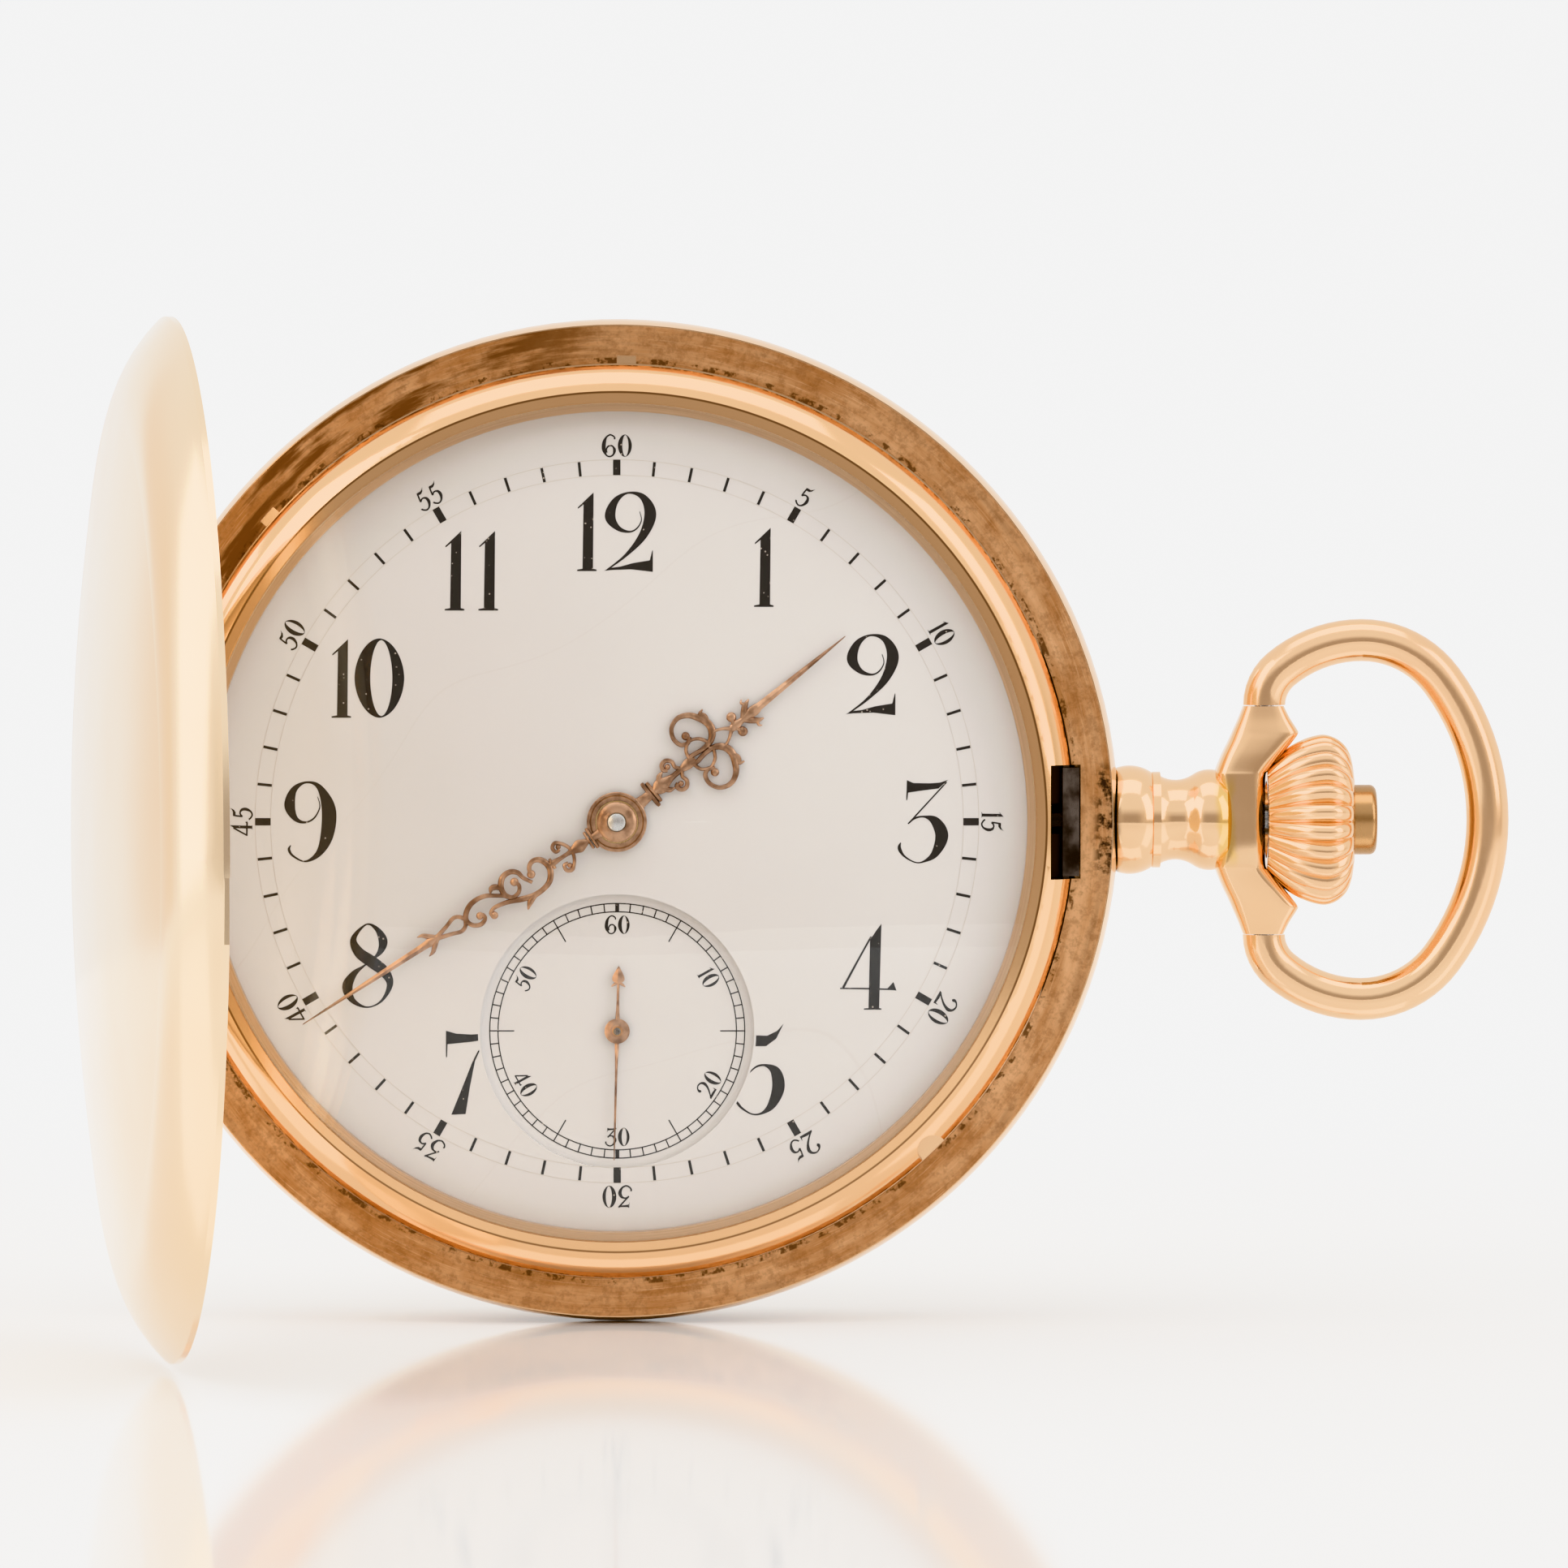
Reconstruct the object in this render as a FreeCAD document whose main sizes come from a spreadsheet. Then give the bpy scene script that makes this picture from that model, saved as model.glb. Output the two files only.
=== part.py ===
import FreeCAD, Part
import math
import os
import Sketcher

# Hunter pocket watch, standing upright with its crown towards +X.
#
# Row frame: the dial faces -Y, twelve o'clock is +Z and the crown is +X.  The origin is on the
# dial's axis, at the flat of the back cover.  Most pieces are drawn in the dial frame, whose own
# Z runs from the back cover (0) to the dial and is turned onto -Y when the piece is placed.

V = FreeCAD.Vector
doc = FreeCAD.newDocument("hunter_pocket_watch")
sheet = doc.addObject("Spreadsheet::Sheet", "sizes")
nodes = []


# --- Measures: a number together with the spreadsheet formula that gives it -------------------

class Measure:
    """A size known both as a value and as a formula over the spreadsheet's cells."""

    def __init__(self, value, formula):
        self.value = value
        self.formula = formula

    def _join(self, other, sign, value):
        return Measure(value, f"({self.formula} {sign} {measure(other).formula})")

    def __add__(self, other):
        return self._join(other, "+", self.value + measure(other).value)

    def __sub__(self, other):
        return self._join(other, "-", self.value - measure(other).value)

    def __mul__(self, other):
        return self._join(other, "*", self.value * measure(other).value)

    def __truediv__(self, other):
        return self._join(other, "/", self.value / measure(other).value)

    def __neg__(self):
        return Measure(-self.value, f"(0 - {self.formula})")

    def __radd__(self, other):
        return measure(other) + self

    def __rsub__(self, other):
        return measure(other) - self

    def __rmul__(self, other):
        return measure(other) * self


def measure(size):
    return size if isinstance(size, Measure) else Measure(float(size), f"{float(size):.9g}")


def root(size):
    return Measure(math.sqrt(size.value), f"sqrt({size.formula})")


def value(size):
    return measure(size).value


class Sizes:
    """The driving dimensions, one spreadsheet cell each."""

    def __init__(self, cells):
        for row, (alias, number) in enumerate(cells.items(), start=1):
            sheet.set(f"A{row}", alias)
            sheet.set(f"B{row}", str(number))
            sheet.setAlias(f"B{row}", alias)
            setattr(self, alias, Measure(float(number), f"sizes.{alias}"))
        doc.recompute()


S = Sizes({
    # case, in the dial frame: radii from the dial's axis, heights from the back cover's flat
    "case_belly": 26.0, "case_front_radius": 25.7, "case_back_radius": 25.0,
    "case_front": 10.3, "case_back": 4.3, "case_bore": 21.6,
    "rib_bore": 20.9, "rib_back": 7.0, "rib_front": 7.7,
    "bezel_radius": 23.6, "bezel_bore": 21.2, "bezel_seat": 9.95, "bezel_top": 11.9,
    "crystal_radius": 21.65, "crystal_seat": 11.35, "crystal_thick": 0.55,
    "cover_radius": 25.6, "cover_shoulder": 20.6, "cover_rise": 4.2, "cover_wall": 0.5,
    "open_angle": 80, "front_hinge_x": -25.55, "front_hinge_height": 10.05,
    "back_hinge_x": -24.95, "back_hinge_height": 4.5, "back_flat": 9.0,
    "knuckle_radius": 0.75, "front_pin_radius": 0.3, "back_knuckle": 0.6, "back_pin_radius": 0.25,
    # pendant, bow and crown: distances along the stem from the dial's axis
    "stem_height": 7.3, "stem_radius": 0.6, "neck_bore": 1.45, "pendant_seat": 25.45,
    "first_bulb_end": 27.8, "ring_end": 28.2, "neck_end": 29.9, "neck_top": 31.65,
    "bulb_radius": 2.45, "yoke_start": 31.05, "yoke_face": 33.62, "yoke_arm": 5.92,
    "yoke_thick": 3.6, "bow_pivot_x": 33.63, "bow_wire": 1.1, "bow_top_x": 38.7,
    "bow_half_width": 9.35, "bow_apex": 45.27, "bow_foot": 5.98,
    "crown_start": 33.75, "crown_end": 38.27, "crown_radius": 4.48, "crown_flutes": 24,
    "button_radius": 1.82, "button_end": 39.45,
    # movement: plates and bridges, in the dial frame
    "plate_back": 7.2, "plate_front": 8.4, "plate_radius": 20.8, "plate_flange": 21.5,
    "bridge_back": 4.5, "bridge_front": 5.6, "bridge_radius": 20.2,
    "wheel_back": 3.85, "wheel_front": 4.35, "arbor_end": 4.7,
    "jewel_radius": 0.6, "jewel_bore": 0.23, "screw_hole": 0.42,
    # going train
    "center_module": 0.155, "center_teeth": 80, "third_pinion": 10,
    "third_module": 0.14, "third_teeth": 75, "fourth_pinion": 10, "fourth_drop": 10.85,
    "fourth_module": 0.11, "fourth_teeth": 80, "escape_pinion": 8,
    "escape_teeth": 15, "escape_tip": 2.7, "pallet_reach": 3.118, "balance_reach": 7.93,
    "barrel_module": 0.19, "barrel_teeth": 84, "center_pinion": 12, "barrel_angle": 58,
    "balance_rim": 5.6, "escape_angle": 165, "pallet_angle": 146.3,
    # winding and hand-setting work
    "crown_wheel_x": 12.2, "crown_wheel_teeth": 46, "ratchet_teeth": 45,
    "face_teeth": 40, "winding_teeth": 15, "winding_pitch": 1.5,
    "motion_module": 0.15, "cannon_teeth": 12, "minute_teeth": 36, "motion_angle": -20,
    "hour_module": 0.12, "hour_pinion": 12, "hour_teeth": 48,
    # dial and hands
    "dial_radius": 21.5, "dial_back": 9.7, "dial_front": 10.2, "seconds_sink": 7.1,
    "hour_length": 15.2, "hour_angle": 50.9, "minute_length": 19.3, "minute_angle": 237.2,
    "seconds_length": 6.7, "seconds_tail": 3.36, "seconds_angle": 181.4,
})


def cos(size):
    return Measure(math.cos(math.radians(value(size))), f"cos({measure(size).formula} * 1 deg)")


def sin(size):
    return Measure(math.sin(math.radians(value(size))), f"sin({measure(size).formula} * 1 deg)")


def dome_radius(reach, rise):
    """Radius of an arc that leaves level and rises by rise over reach."""
    reach, rise = measure(reach), measure(rise)
    return (reach * reach + rise * rise) / (rise * 2)


def polar(radius, angle):
    return measure(radius) * cos(angle), measure(radius) * sin(angle)


# --- Frames in which pieces are drawn ---------------------------------------------------------

DIAL_TURN = FreeCAD.Rotation(V(1, 0, 0), 90)
STEM_TURN = FreeCAD.Rotation(V(0, 1, 0), 90)
UPRIGHT = FreeCAD.Rotation()


def place(piece, frame="dial", at=(0, 0, 0)):
    """Put a piece's own origin at a point of the dial frame, turned as its frame says."""
    turns = {"dial": DIAL_TURN, "stem": STEM_TURN, "upright": UPRIGHT}
    x, y, z = (measure(size) for size in at)
    piece.Placement = FreeCAD.Placement(V(x.value, -z.value, y.value), turns[frame])
    for axis, size in zip("xyz", (x, -z, y)):
        piece.setExpression(f"Placement.Base.{axis}", size.formula)
    return piece


def node(piece):
    nodes.append(piece)
    return piece


def new_body(label, frame="dial", at=(0, 0, 0)):
    body = doc.addObject("PartDesign::Body", label)
    body.Label = label
    place(body, frame, at)
    return node(body)


# --- Sketches ---------------------------------------------------------------------------------

class Round:
    """A full circle in a sketch."""

    def __init__(self, x, y, radius):
        self.x, self.y, self.radius = measure(x), measure(y), measure(radius)


def box(x_low, y_low, x_high, y_high):
    return [(x_low, y_low), (x_high, y_low), (x_high, y_high), (x_low, y_high)]


def bind(sketch, kind, *arguments, size):
    index = sketch.addConstraint(Sketcher.Constraint(kind, *arguments, size.value))
    if "sizes." in size.formula:
        sketch.setExpression(f"Constraints[{index}]", size.formula)


def add_round(sketch, circle):
    centre = V(circle.x.value, circle.y.value, 0)
    edge = sketch.addGeometry(Part.Circle(centre, V(0, 0, 1), circle.radius.value))
    bind(sketch, "DistanceX", edge, 3, size=circle.x)
    bind(sketch, "DistanceY", edge, 3, size=circle.y)
    bind(sketch, "Radius", edge, size=circle.radius)


def arc_between(start, end, radius):
    """The minor arc from start to end; a positive radius turns left on the way."""
    first, last = (start, end) if radius > 0 else (end, start)
    half = (last - first) * 0.5
    left = V(-half.y, half.x, 0)
    reach = math.sqrt(max(radius * radius - half.Length ** 2, 0.0))
    centre = first + half + left * (reach / left.Length)
    angles = [math.atan2(point.y - centre.y, point.x - centre.x) for point in (first, last)]
    return Part.ArcOfCircle(Part.Circle(centre, V(0, 0, 1), abs(radius)), *angles)


def add_path(sketch, corners, closed=True):
    """Lines and arcs through the corners; a corner's third number is its arc's radius."""
    points = [V(value(corner[0]), value(corner[1]), 0) for corner in corners]
    count = len(corners) if closed else len(corners) - 1
    ends = []
    for step in range(count):
        following = (step + 1) % len(corners)
        bend = corners[following][2] if len(corners[following]) > 2 else None
        if bend is None:
            edge = sketch.addGeometry(Part.LineSegment(points[step], points[following]))
            ends.append((edge, 1, 2))
            continue
        arc = arc_between(points[step], points[following], value(bend))
        edge = sketch.addGeometry(arc)
        ends.append((edge, 1, 2) if value(bend) > 0 else (edge, 2, 1))
        bind(sketch, "Radius", edge, size=measure(bend) if value(bend) > 0 else -measure(bend))
    for step, (edge, start, end) in enumerate(ends):
        bind(sketch, "DistanceX", edge, start, size=measure(corners[step][0]))
        bind(sketch, "DistanceY", edge, start, size=measure(corners[step][1]))
        if closed or step + 1 < count:
            after = ends[(step + 1) % len(ends)]
            sketch.addConstraint(Sketcher.Constraint("Coincident", edge, end, after[0], after[1]))
    if not closed:
        edge, _, end = ends[-1]
        bind(sketch, "DistanceX", edge, end, size=measure(corners[-1][0]))
        bind(sketch, "DistanceY", edge, end, size=measure(corners[-1][1]))


def new_sketch(body, plane, loops, offset=0, angle=0, closed=True):
    sketch = body.newObject("Sketcher::SketchObject", f"{body.Name}_sketch")
    origin_planes = {feature.Role: feature for feature in body.Origin.OriginFeatures}
    sketch.AttachmentSupport = [(origin_planes[f"{plane}_Plane"], "")]
    sketch.MapMode = "FlatFace"
    shift = measure(offset)
    turn = FreeCAD.Rotation(V(0, 0, 1), value(angle))
    sketch.AttachmentOffset = FreeCAD.Placement(V(0, 0, shift.value), turn)
    if "sizes." in shift.formula:
        sketch.setExpression("AttachmentOffset.Base.z", shift.formula)
    for loop in loops:
        if isinstance(loop, Round):
            add_round(sketch, loop)
        else:
            add_path(sketch, loop, closed)
    return sketch


# --- Features ---------------------------------------------------------------------------------

def feature(body, kind, sketch):
    made = body.newObject(f"PartDesign::{kind}", f"{body.Name}_{kind.lower()}")
    made.Profile = sketch
    return made


def spin(body, *loops, angle=360):
    """A turned form about the body's own Z; a part turn is centred on the sketch."""
    made = feature(body, "Revolution", new_sketch(body, "XZ", loops))
    made.ReferenceAxis = (made.Profile[0], ["V_Axis"])
    made.Angle = angle
    made.Midplane = angle < 360
    doc.recompute()
    return made


def pad(body, loops, low, high, plane="XY", angle=0):
    """Material between low and high along the plane's own axis (X, Y or Z of the body)."""
    start = -measure(high) if plane == "XZ" else low
    made = feature(body, "Pad", new_sketch(body, plane, loops, start, angle))
    made.setExpression("Length", (measure(high) - low).formula)
    doc.recompute()
    return made


def must_shrink(body, made, before):
    doc.recompute()
    if not made.Shape.Volume < before:
        raise RuntimeError(f"{body.Label}: {made.Name} cut nothing")
    return made


def cut(body, loops, low, high, plane="XY", angle=0):
    """A pocket between low and high along the plane's own axis."""
    before = body.Shape.Volume
    start = -measure(low) if plane == "XZ" else high
    made = feature(body, "Pocket", new_sketch(body, plane, loops, start, angle))
    made.setExpression("Length", (measure(high) - low).formula)
    return must_shrink(body, made, before)


def groove(body, loops, angle):
    """A turned channel of limited angle about the body's own Z."""
    before = body.Shape.Volume
    made = feature(body, "Groove", new_sketch(body, "XZ", loops))
    made.ReferenceAxis = (made.Profile[0], ["V_Axis"])
    made.Angle = angle
    made.Midplane = True
    return must_shrink(body, made, before)


def around(body, original, count):
    """Repeat a feature round the body's own Z."""
    made = body.newObject("PartDesign::PolarPattern", f"{body.Name}_pattern")
    made.Originals = [original]
    made.Axis = (original.Profile[0], ["N_Axis"])
    made.Angle = 360
    made.Occurrences = int(value(count))
    if "sizes." in measure(count).formula:
        made.setExpression("Occurrences", measure(count).formula)
    body.Tip = made
    doc.recompute()
    return made


def gear(body, teeth, module, low, high, gap_angle, add=0.9, dig=1.1):
    """A spur wheel on the body's Z with one of its gaps centred on gap_angle."""
    teeth, module = measure(teeth), measure(module)
    tip = module * (teeth / 2 + add)
    pad(body, [Round(0, 0, tip)], low, high)
    cut_teeth(body, teeth, module * math.pi, tip, module * (teeth / 2 - dig), low, high, gap_angle)


def cut_teeth(body, teeth, pitch, tip, bottom, low, high, gap_angle, shares=(0.47, 0.80)):
    """Cut the gaps of a wheel; shares are the gap's part of the pitch at root and tip."""
    pitch_radius = pitch * teeth / (2 * math.pi)
    root_half = pitch * bottom / pitch_radius * (shares[0] / 2)
    tip_half = pitch * tip / pitch_radius * (shares[1] / 2)
    outside = tip + pitch * 0.1
    gap = [(bottom, -root_half), (outside, -tip_half), (outside, tip_half), (bottom, root_half)]
    around(body, cut(body, [gap], low, high, angle=gap_angle), teeth)


def spokes(body, count, inner, outer, arm_angle, low, high, turn=0):
    """Windows between the arms of a wheel."""
    half = (360 / count - arm_angle) / 2
    window = [polar(inner, -half), polar(outer, -half), polar(outer, half) + (outer,),
              polar(inner, half)]
    window[0] = window[0] + (-measure(inner),)
    around(body, cut(body, [window], low, high, angle=turn), count)


def tube(label, inner, outer, low, high, **where):
    body = new_body(label, **where)
    spin(body, box(inner, low, outer, high))
    return body


# --- Groups of small primitives ---------------------------------------------------------------

def primitive(kind, name, sizes, frame, at):
    piece = doc.addObject(f"Part::{kind}", name)
    for key, size in sizes.items():
        piece.setExpression(key, measure(size).formula)
    return place(piece, frame, at)


def cylinder(name, radius, low, high, x=0, y=0, frame="dial", at=None):
    place_at = at if at is not None else (x, y, low)
    sizes = {"Radius": radius, "Height": measure(high) - low}
    return primitive("Cylinder", name, sizes, frame, place_at)


def compound(label, pieces):
    group = doc.addObject("Part::Compound", label)
    group.Label = label
    group.Links = pieces
    return node(group)


def ring(name, inner, outer, low, high, x, y):
    hoop = doc.addObject("Part::Cut", name)
    hoop.Base = cylinder(f"{name}_outside", outer, low, high, x, y)
    hoop.Tool = cylinder(f"{name}_bore", inner, low, high, x, y)
    return hoop


def screw(name, x, y, seat, shank_end, head=0.8, shank=0.4, head_height=0.3, slot_turn=30):
    """A slotted cheese-head screw whose head stands behind its seat."""
    back = measure(seat) - head_height
    whole = doc.addObject("Part::MultiFuse", f"{name}_blank")
    whole.Shapes = [cylinder(f"{name}_head", head, back, seat, x, y),
                    cylinder(f"{name}_shank", shank, seat, shank_end, x, y)]
    width, depth = head * 0.26, head_height * 0.45
    slot = doc.addObject("Part::Box", f"{name}_slot")
    slot.Length, slot.Width, slot.Height = 2.4 * head, width, depth
    turn = FreeCAD.Rotation(V(0, 0, 1), slot_turn)
    corner = turn.multVec(V(-1.2 * head, -width / 2, 0))
    origin = V(value(x), value(y), value(back)) + corner
    slot.Placement = FreeCAD.Placement(V(origin.x, -origin.z, origin.y), DIAL_TURN * turn)
    slotted = doc.addObject("Part::Cut", name)
    slotted.Base, slotted.Tool = whole, slot
    return slotted


# --- Layout of the movement in the dial frame -------------------------------------------------

CENTER = (measure(0), measure(0))
FOURTH = (measure(0), -S.fourth_drop)
center_to_third = S.center_module * (S.center_teeth + S.third_pinion) / 2
third_to_fourth = S.third_module * (S.third_teeth + S.fourth_pinion) / 2
third_drop = (center_to_third * center_to_third - third_to_fourth * third_to_fourth
              + S.fourth_drop * S.fourth_drop) / (S.fourth_drop * 2)
THIRD = (root(center_to_third * center_to_third - third_drop * third_drop), -third_drop)
fourth_to_escape = S.fourth_module * (S.fourth_teeth + S.escape_pinion) / 2


def beyond(start, radius, angle):
    step = polar(radius, angle)
    return start[0] + step[0], start[1] + step[1]


ESCAPE = beyond(FOURTH, fourth_to_escape, S.escape_angle)
PALLET = beyond(ESCAPE, S.pallet_reach, S.pallet_angle)
BALANCE = beyond(ESCAPE, S.balance_reach, S.pallet_angle)
BARREL = polar(S.barrel_module * (S.barrel_teeth + S.center_pinion) / 2, S.barrel_angle)
MINUTE = polar(S.motion_module * (S.cannon_teeth + S.minute_teeth) / 2, S.motion_angle)
CROWN_WHEEL = (S.crown_wheel_x, measure(0))
ratchet_gap = root((S.crown_wheel_x - BARREL[0]) * (S.crown_wheel_x - BARREL[0])
                   + BARREL[1] * BARREL[1])
ratchet_module = ratchet_gap * 2 / (S.crown_wheel_teeth + S.ratchet_teeth)
BRIDGE_SCREWS = [polar(19.0, angle) for angle in (30, 88, 146, -35, -108)]
COCK_SCREW = (-16.3, 3.6)
CASE_SCREWS = [polar(20.35, angle) for angle in (-136, -163)]


def facing(start, end):
    return math.degrees(math.atan2(value(end[1]) - value(start[1]), value(end[0]) - value(start[0])))


def tooth_facing(start, end, teeth):
    """Gap angle that puts a tooth, not a gap, on the line to the other wheel."""
    return facing(start, end) + 180 / value(teeth)


# --- Case -------------------------------------------------------------------------------------

def hinge_barrel(body, x, height, clear, length):
    """A round channel along the hinge's axis, clear of every knuckle."""
    cut(body, [Round(x, height, clear)], -length, length, plane="XZ")


def knuckles(body, x, height, radius, bore, middles, length, web):
    for middle in middles:
        low, high = middle - length / 2, middle + length / 2
        pad(body, [Round(x, height, radius)], low, high, plane="XZ")
        pad(body, [web], low, high, plane="XZ")
    reach = max(middles) + length
    cut(body, [Round(x, height, bore)], -reach, reach, plane="XZ")


def case_middle():
    body = new_body("case_middle")
    rebate, seat = 23.5, 23.7
    spin(body, [
        (rebate, S.case_back), (S.case_back_radius, S.case_back),
        (S.case_front_radius, S.case_front, 7.6),
        (seat, S.case_front), (seat, S.bezel_seat), (S.case_bore, S.bezel_seat),
        (S.case_bore, S.rib_front), (S.rib_bore, S.rib_front), (S.rib_bore, S.rib_back),
        (S.case_bore, S.rib_back), (S.case_bore, S.case_back + 0.65),
        (rebate, S.case_back + 0.65)])
    cut(body, [box(22.4, -2.95, 23.98, 2.95)], 5.7, S.case_front + 0.1)
    for radius, low, high in ((0.85, 20.5, 22.5), (S.neck_bore, 22.35, 24.6),
                              (2.0, 24.5, 25.5), (2.85, S.pendant_seat, 27.0)):
        cut(body, [Round(0, S.stem_height, radius)], low, high, plane="YZ")
    groove(body, [box(22.4, 8.3, 23.95, 9.5)], 84)
    groove(body, [box(-23.95, 8.3, -22.4, 9.5)], 80)
    for angle in (88.8, 138.7):
        cut(body, [box(23.6, -0.5, 24.1, 0.5)], S.case_front - 0.3, S.case_front + 0.1, angle=angle)
    hinge_barrel(body, S.front_hinge_x, S.front_hinge_height, S.knuckle_radius + 0.1, 5.25)
    knuckles(body, S.front_hinge_x, S.front_hinge_height, S.knuckle_radius,
             S.front_pin_radius + 0.02, (-4.2, 0, 4.2), 2.0,
             box(S.front_hinge_x, 9.0, -24.5, S.front_hinge_height))
    hinge_barrel(body, S.back_hinge_x, S.back_hinge_height, S.back_knuckle + 0.1, 5.65)
    for low in (0.8, -2.4):
        cut(body, [box(-25.4, low, -23.3, low + 1.6)], S.case_back - 0.1, S.case_back + 0.65)
    knuckles(body, S.back_hinge_x, S.back_hinge_height, S.back_knuckle,
             S.back_pin_radius + 0.02, (-4.8, 0, 4.8), 1.5,
             box(S.back_hinge_x, S.back_hinge_height, -24.0, 5.3))


def front_cover():
    """Domed lid, drawn closed and then turned open about its hinge."""
    body = new_body("front_cover")
    side, drop = 8.0, 1.5
    crest = S.case_front + S.cover_rise
    shoulder = crest - drop
    rim_inside = S.cover_radius - 1.0
    flat, inside = 2.0, S.cover_shoulder - 0.1
    spin(body, [
        (rim_inside, S.case_front), (S.cover_radius, S.case_front),
        (S.cover_radius, S.case_front + 0.3), (S.cover_shoulder, shoulder, side),
        (flat, crest, dome_radius(S.cover_shoulder - flat, drop)), (0, crest),
        (0, crest - S.cover_wall), (flat, crest - S.cover_wall),
        (inside, shoulder - S.cover_wall, -dome_radius(inside - flat, drop)),
        (S.cover_radius - 0.7, S.case_front + 0.5, 0.5 - measure(side)),
        (rim_inside, S.case_front + 0.5)])
    cut(body, [box(25.3, -4.4, 25.8, -0.8)], S.case_front - 0.1, S.case_front + 0.25)
    hinge_barrel(body, S.front_hinge_x, S.front_hinge_height, S.knuckle_radius + 0.1, 5.25)
    knuckles(body, S.front_hinge_x, S.front_hinge_height, S.knuckle_radius,
             S.front_pin_radius + 0.02, (-2.1, 2.1), 2.0,
             box(-25.45, S.case_front, -24.4, S.case_front + 0.9))
    axis = V(value(S.front_hinge_x), -value(S.front_hinge_height), 0)
    swing = FreeCAD.Placement(V(), FreeCAD.Rotation(V(0, 0, 1), -value(S.open_angle)), axis)
    for direction in "xyz":
        body.setExpression(f"Placement.Base.{direction}", None)
    body.Placement = swing * FreeCAD.Placement(V(), DIAL_TURN)


def back_cover():
    body = new_body("back_cover")
    wall = S.cover_wall
    spin(body, [
        (0, 0), (S.back_flat, 0), (20.5, 1.05, 63.5), (S.case_back_radius, 4.0, 6.5),
        (S.case_back_radius, S.case_back), (24.2, S.case_back), (24.2, 4.0),
        (20.3, measure(1.1) + wall, -6.0), (S.back_flat, wall, -63.0), (0, wall)])
    cut(body, [box(24.75, -1.8, 25.1, 1.8)], 3.9, S.case_back + 0.1, angle=-40)
    hinge_barrel(body, S.back_hinge_x, S.back_hinge_height, S.back_knuckle + 0.1, 5.65)
    knuckles(body, S.back_hinge_x, S.back_hinge_height, S.back_knuckle,
             S.back_pin_radius + 0.02, (-3.2, 3.2), 1.5,
             box(S.back_hinge_x, 3.55, -24.15, S.case_back - 0.08))


def cuvette():
    """Inner dust cover over the movement, sharing the back cover's hinge pin."""
    body = new_body("cuvette")
    rim = S.case_back + 0.6
    spin(body, [
        (0, 2.75), (21.0, 3.05), (23.4, 4.25), (23.4, rim), (22.8, rim), (22.8, 4.4),
        (20.85, 3.45), (0, 3.15)])
    for middle in (-1.6, 1.6):
        low, high = middle - 0.75, middle + 0.75
        pad(body, [Round(S.back_hinge_x, S.back_hinge_height, S.back_knuckle)],
            low, high, plane="XZ")
        pad(body, [box(S.back_hinge_x, 4.4, -22.95, 4.8)], low, high, plane="XZ")
    cut(body, [Round(S.back_hinge_x, S.back_hinge_height, S.back_pin_radius + 0.02)],
        -3, 3, plane="XZ")


def hinge_pins():
    for label, radius, half, x, height in (
            ("front_hinge_pin", S.front_pin_radius, 5.2, S.front_hinge_x, S.front_hinge_height),
            ("back_hinge_pin", S.back_pin_radius, 5.55, S.back_hinge_x, S.back_hinge_height)):
        body = new_body(label, frame="upright", at=(x, 0, height))
        pad(body, [Round(0, 0, radius)], -half, half)


def bezel():
    body = new_body("bezel")
    spin(body, [
        (S.case_bore, S.bezel_seat), (S.bezel_radius, S.bezel_seat), (S.bezel_radius, 10.7),
        (22.25, S.bezel_top, 2.4), (S.crystal_radius + 0.05, S.bezel_top),
        (S.crystal_radius + 0.05, S.crystal_seat), (S.bezel_bore, S.crystal_seat),
        (S.bezel_bore, S.dial_front + 0.05), (S.case_bore, S.dial_front + 0.05)])
    cut(body, [Round(23.5, 0, 0.78)], S.bezel_seat - 0.1, S.bezel_top, angle=-46.1)
    cut(body, [box(22.4, -2.95, 24, 2.95)], S.bezel_seat - 0.1, S.bezel_top + 0.1)


def crystal():
    body = new_body("crystal")
    rim = S.crystal_seat + S.crystal_thick
    flat, hollow, crown_rise = 2.0, 0.4, 0.55
    reach = S.crystal_radius - flat
    spin(body, [
        (0, S.crystal_seat + hollow), (flat, S.crystal_seat + hollow),
        (S.crystal_radius, S.crystal_seat, -dome_radius(reach, hollow)),
        (S.crystal_radius, rim), (flat, rim + crown_rise, dome_radius(reach, crown_rise)),
        (0, rim + crown_rise)])


def cover_springs():
    lift = new_body("lift_spring")
    spin(lift, box(-23.4, 8.5, -23.0, 9.3), angle=70)
    catch = new_body("lock_spring")
    spin(catch, box(23.3, 8.5, 23.6, 9.3), angle=72)
    pad(catch, [box(23.05, -2.8, 23.9, 2.8)], 8.25, S.case_front + 0.45)
    pad(catch, [box(23.35, -1.9, 23.9, 1.9)], 5.9, 8.3)
    cut(catch, [box(23.0, -0.85, 24.0, 0.85)], 5.8, 8.2)


# --- Pendant, bow and crown -------------------------------------------------------------------

def pendant_neck():
    body = new_body("pendant_neck", "stem", (0, 0, S.stem_height))
    bore, tube_end, wall = S.neck_bore, S.pendant_seat, 1.98
    spin(body, [
        (bore, 24.55), (wall, 24.55), (wall, tube_end), (S.bulb_radius, tube_end),
        (S.bulb_radius, S.first_bulb_end, 2.0), (2.5, S.first_bulb_end), (2.5, S.ring_end),
        (2.3, S.ring_end), (2.35, S.neck_end, -1.6), (2.35, S.neck_top, 1.5),
        (bore, S.neck_top)])


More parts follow.
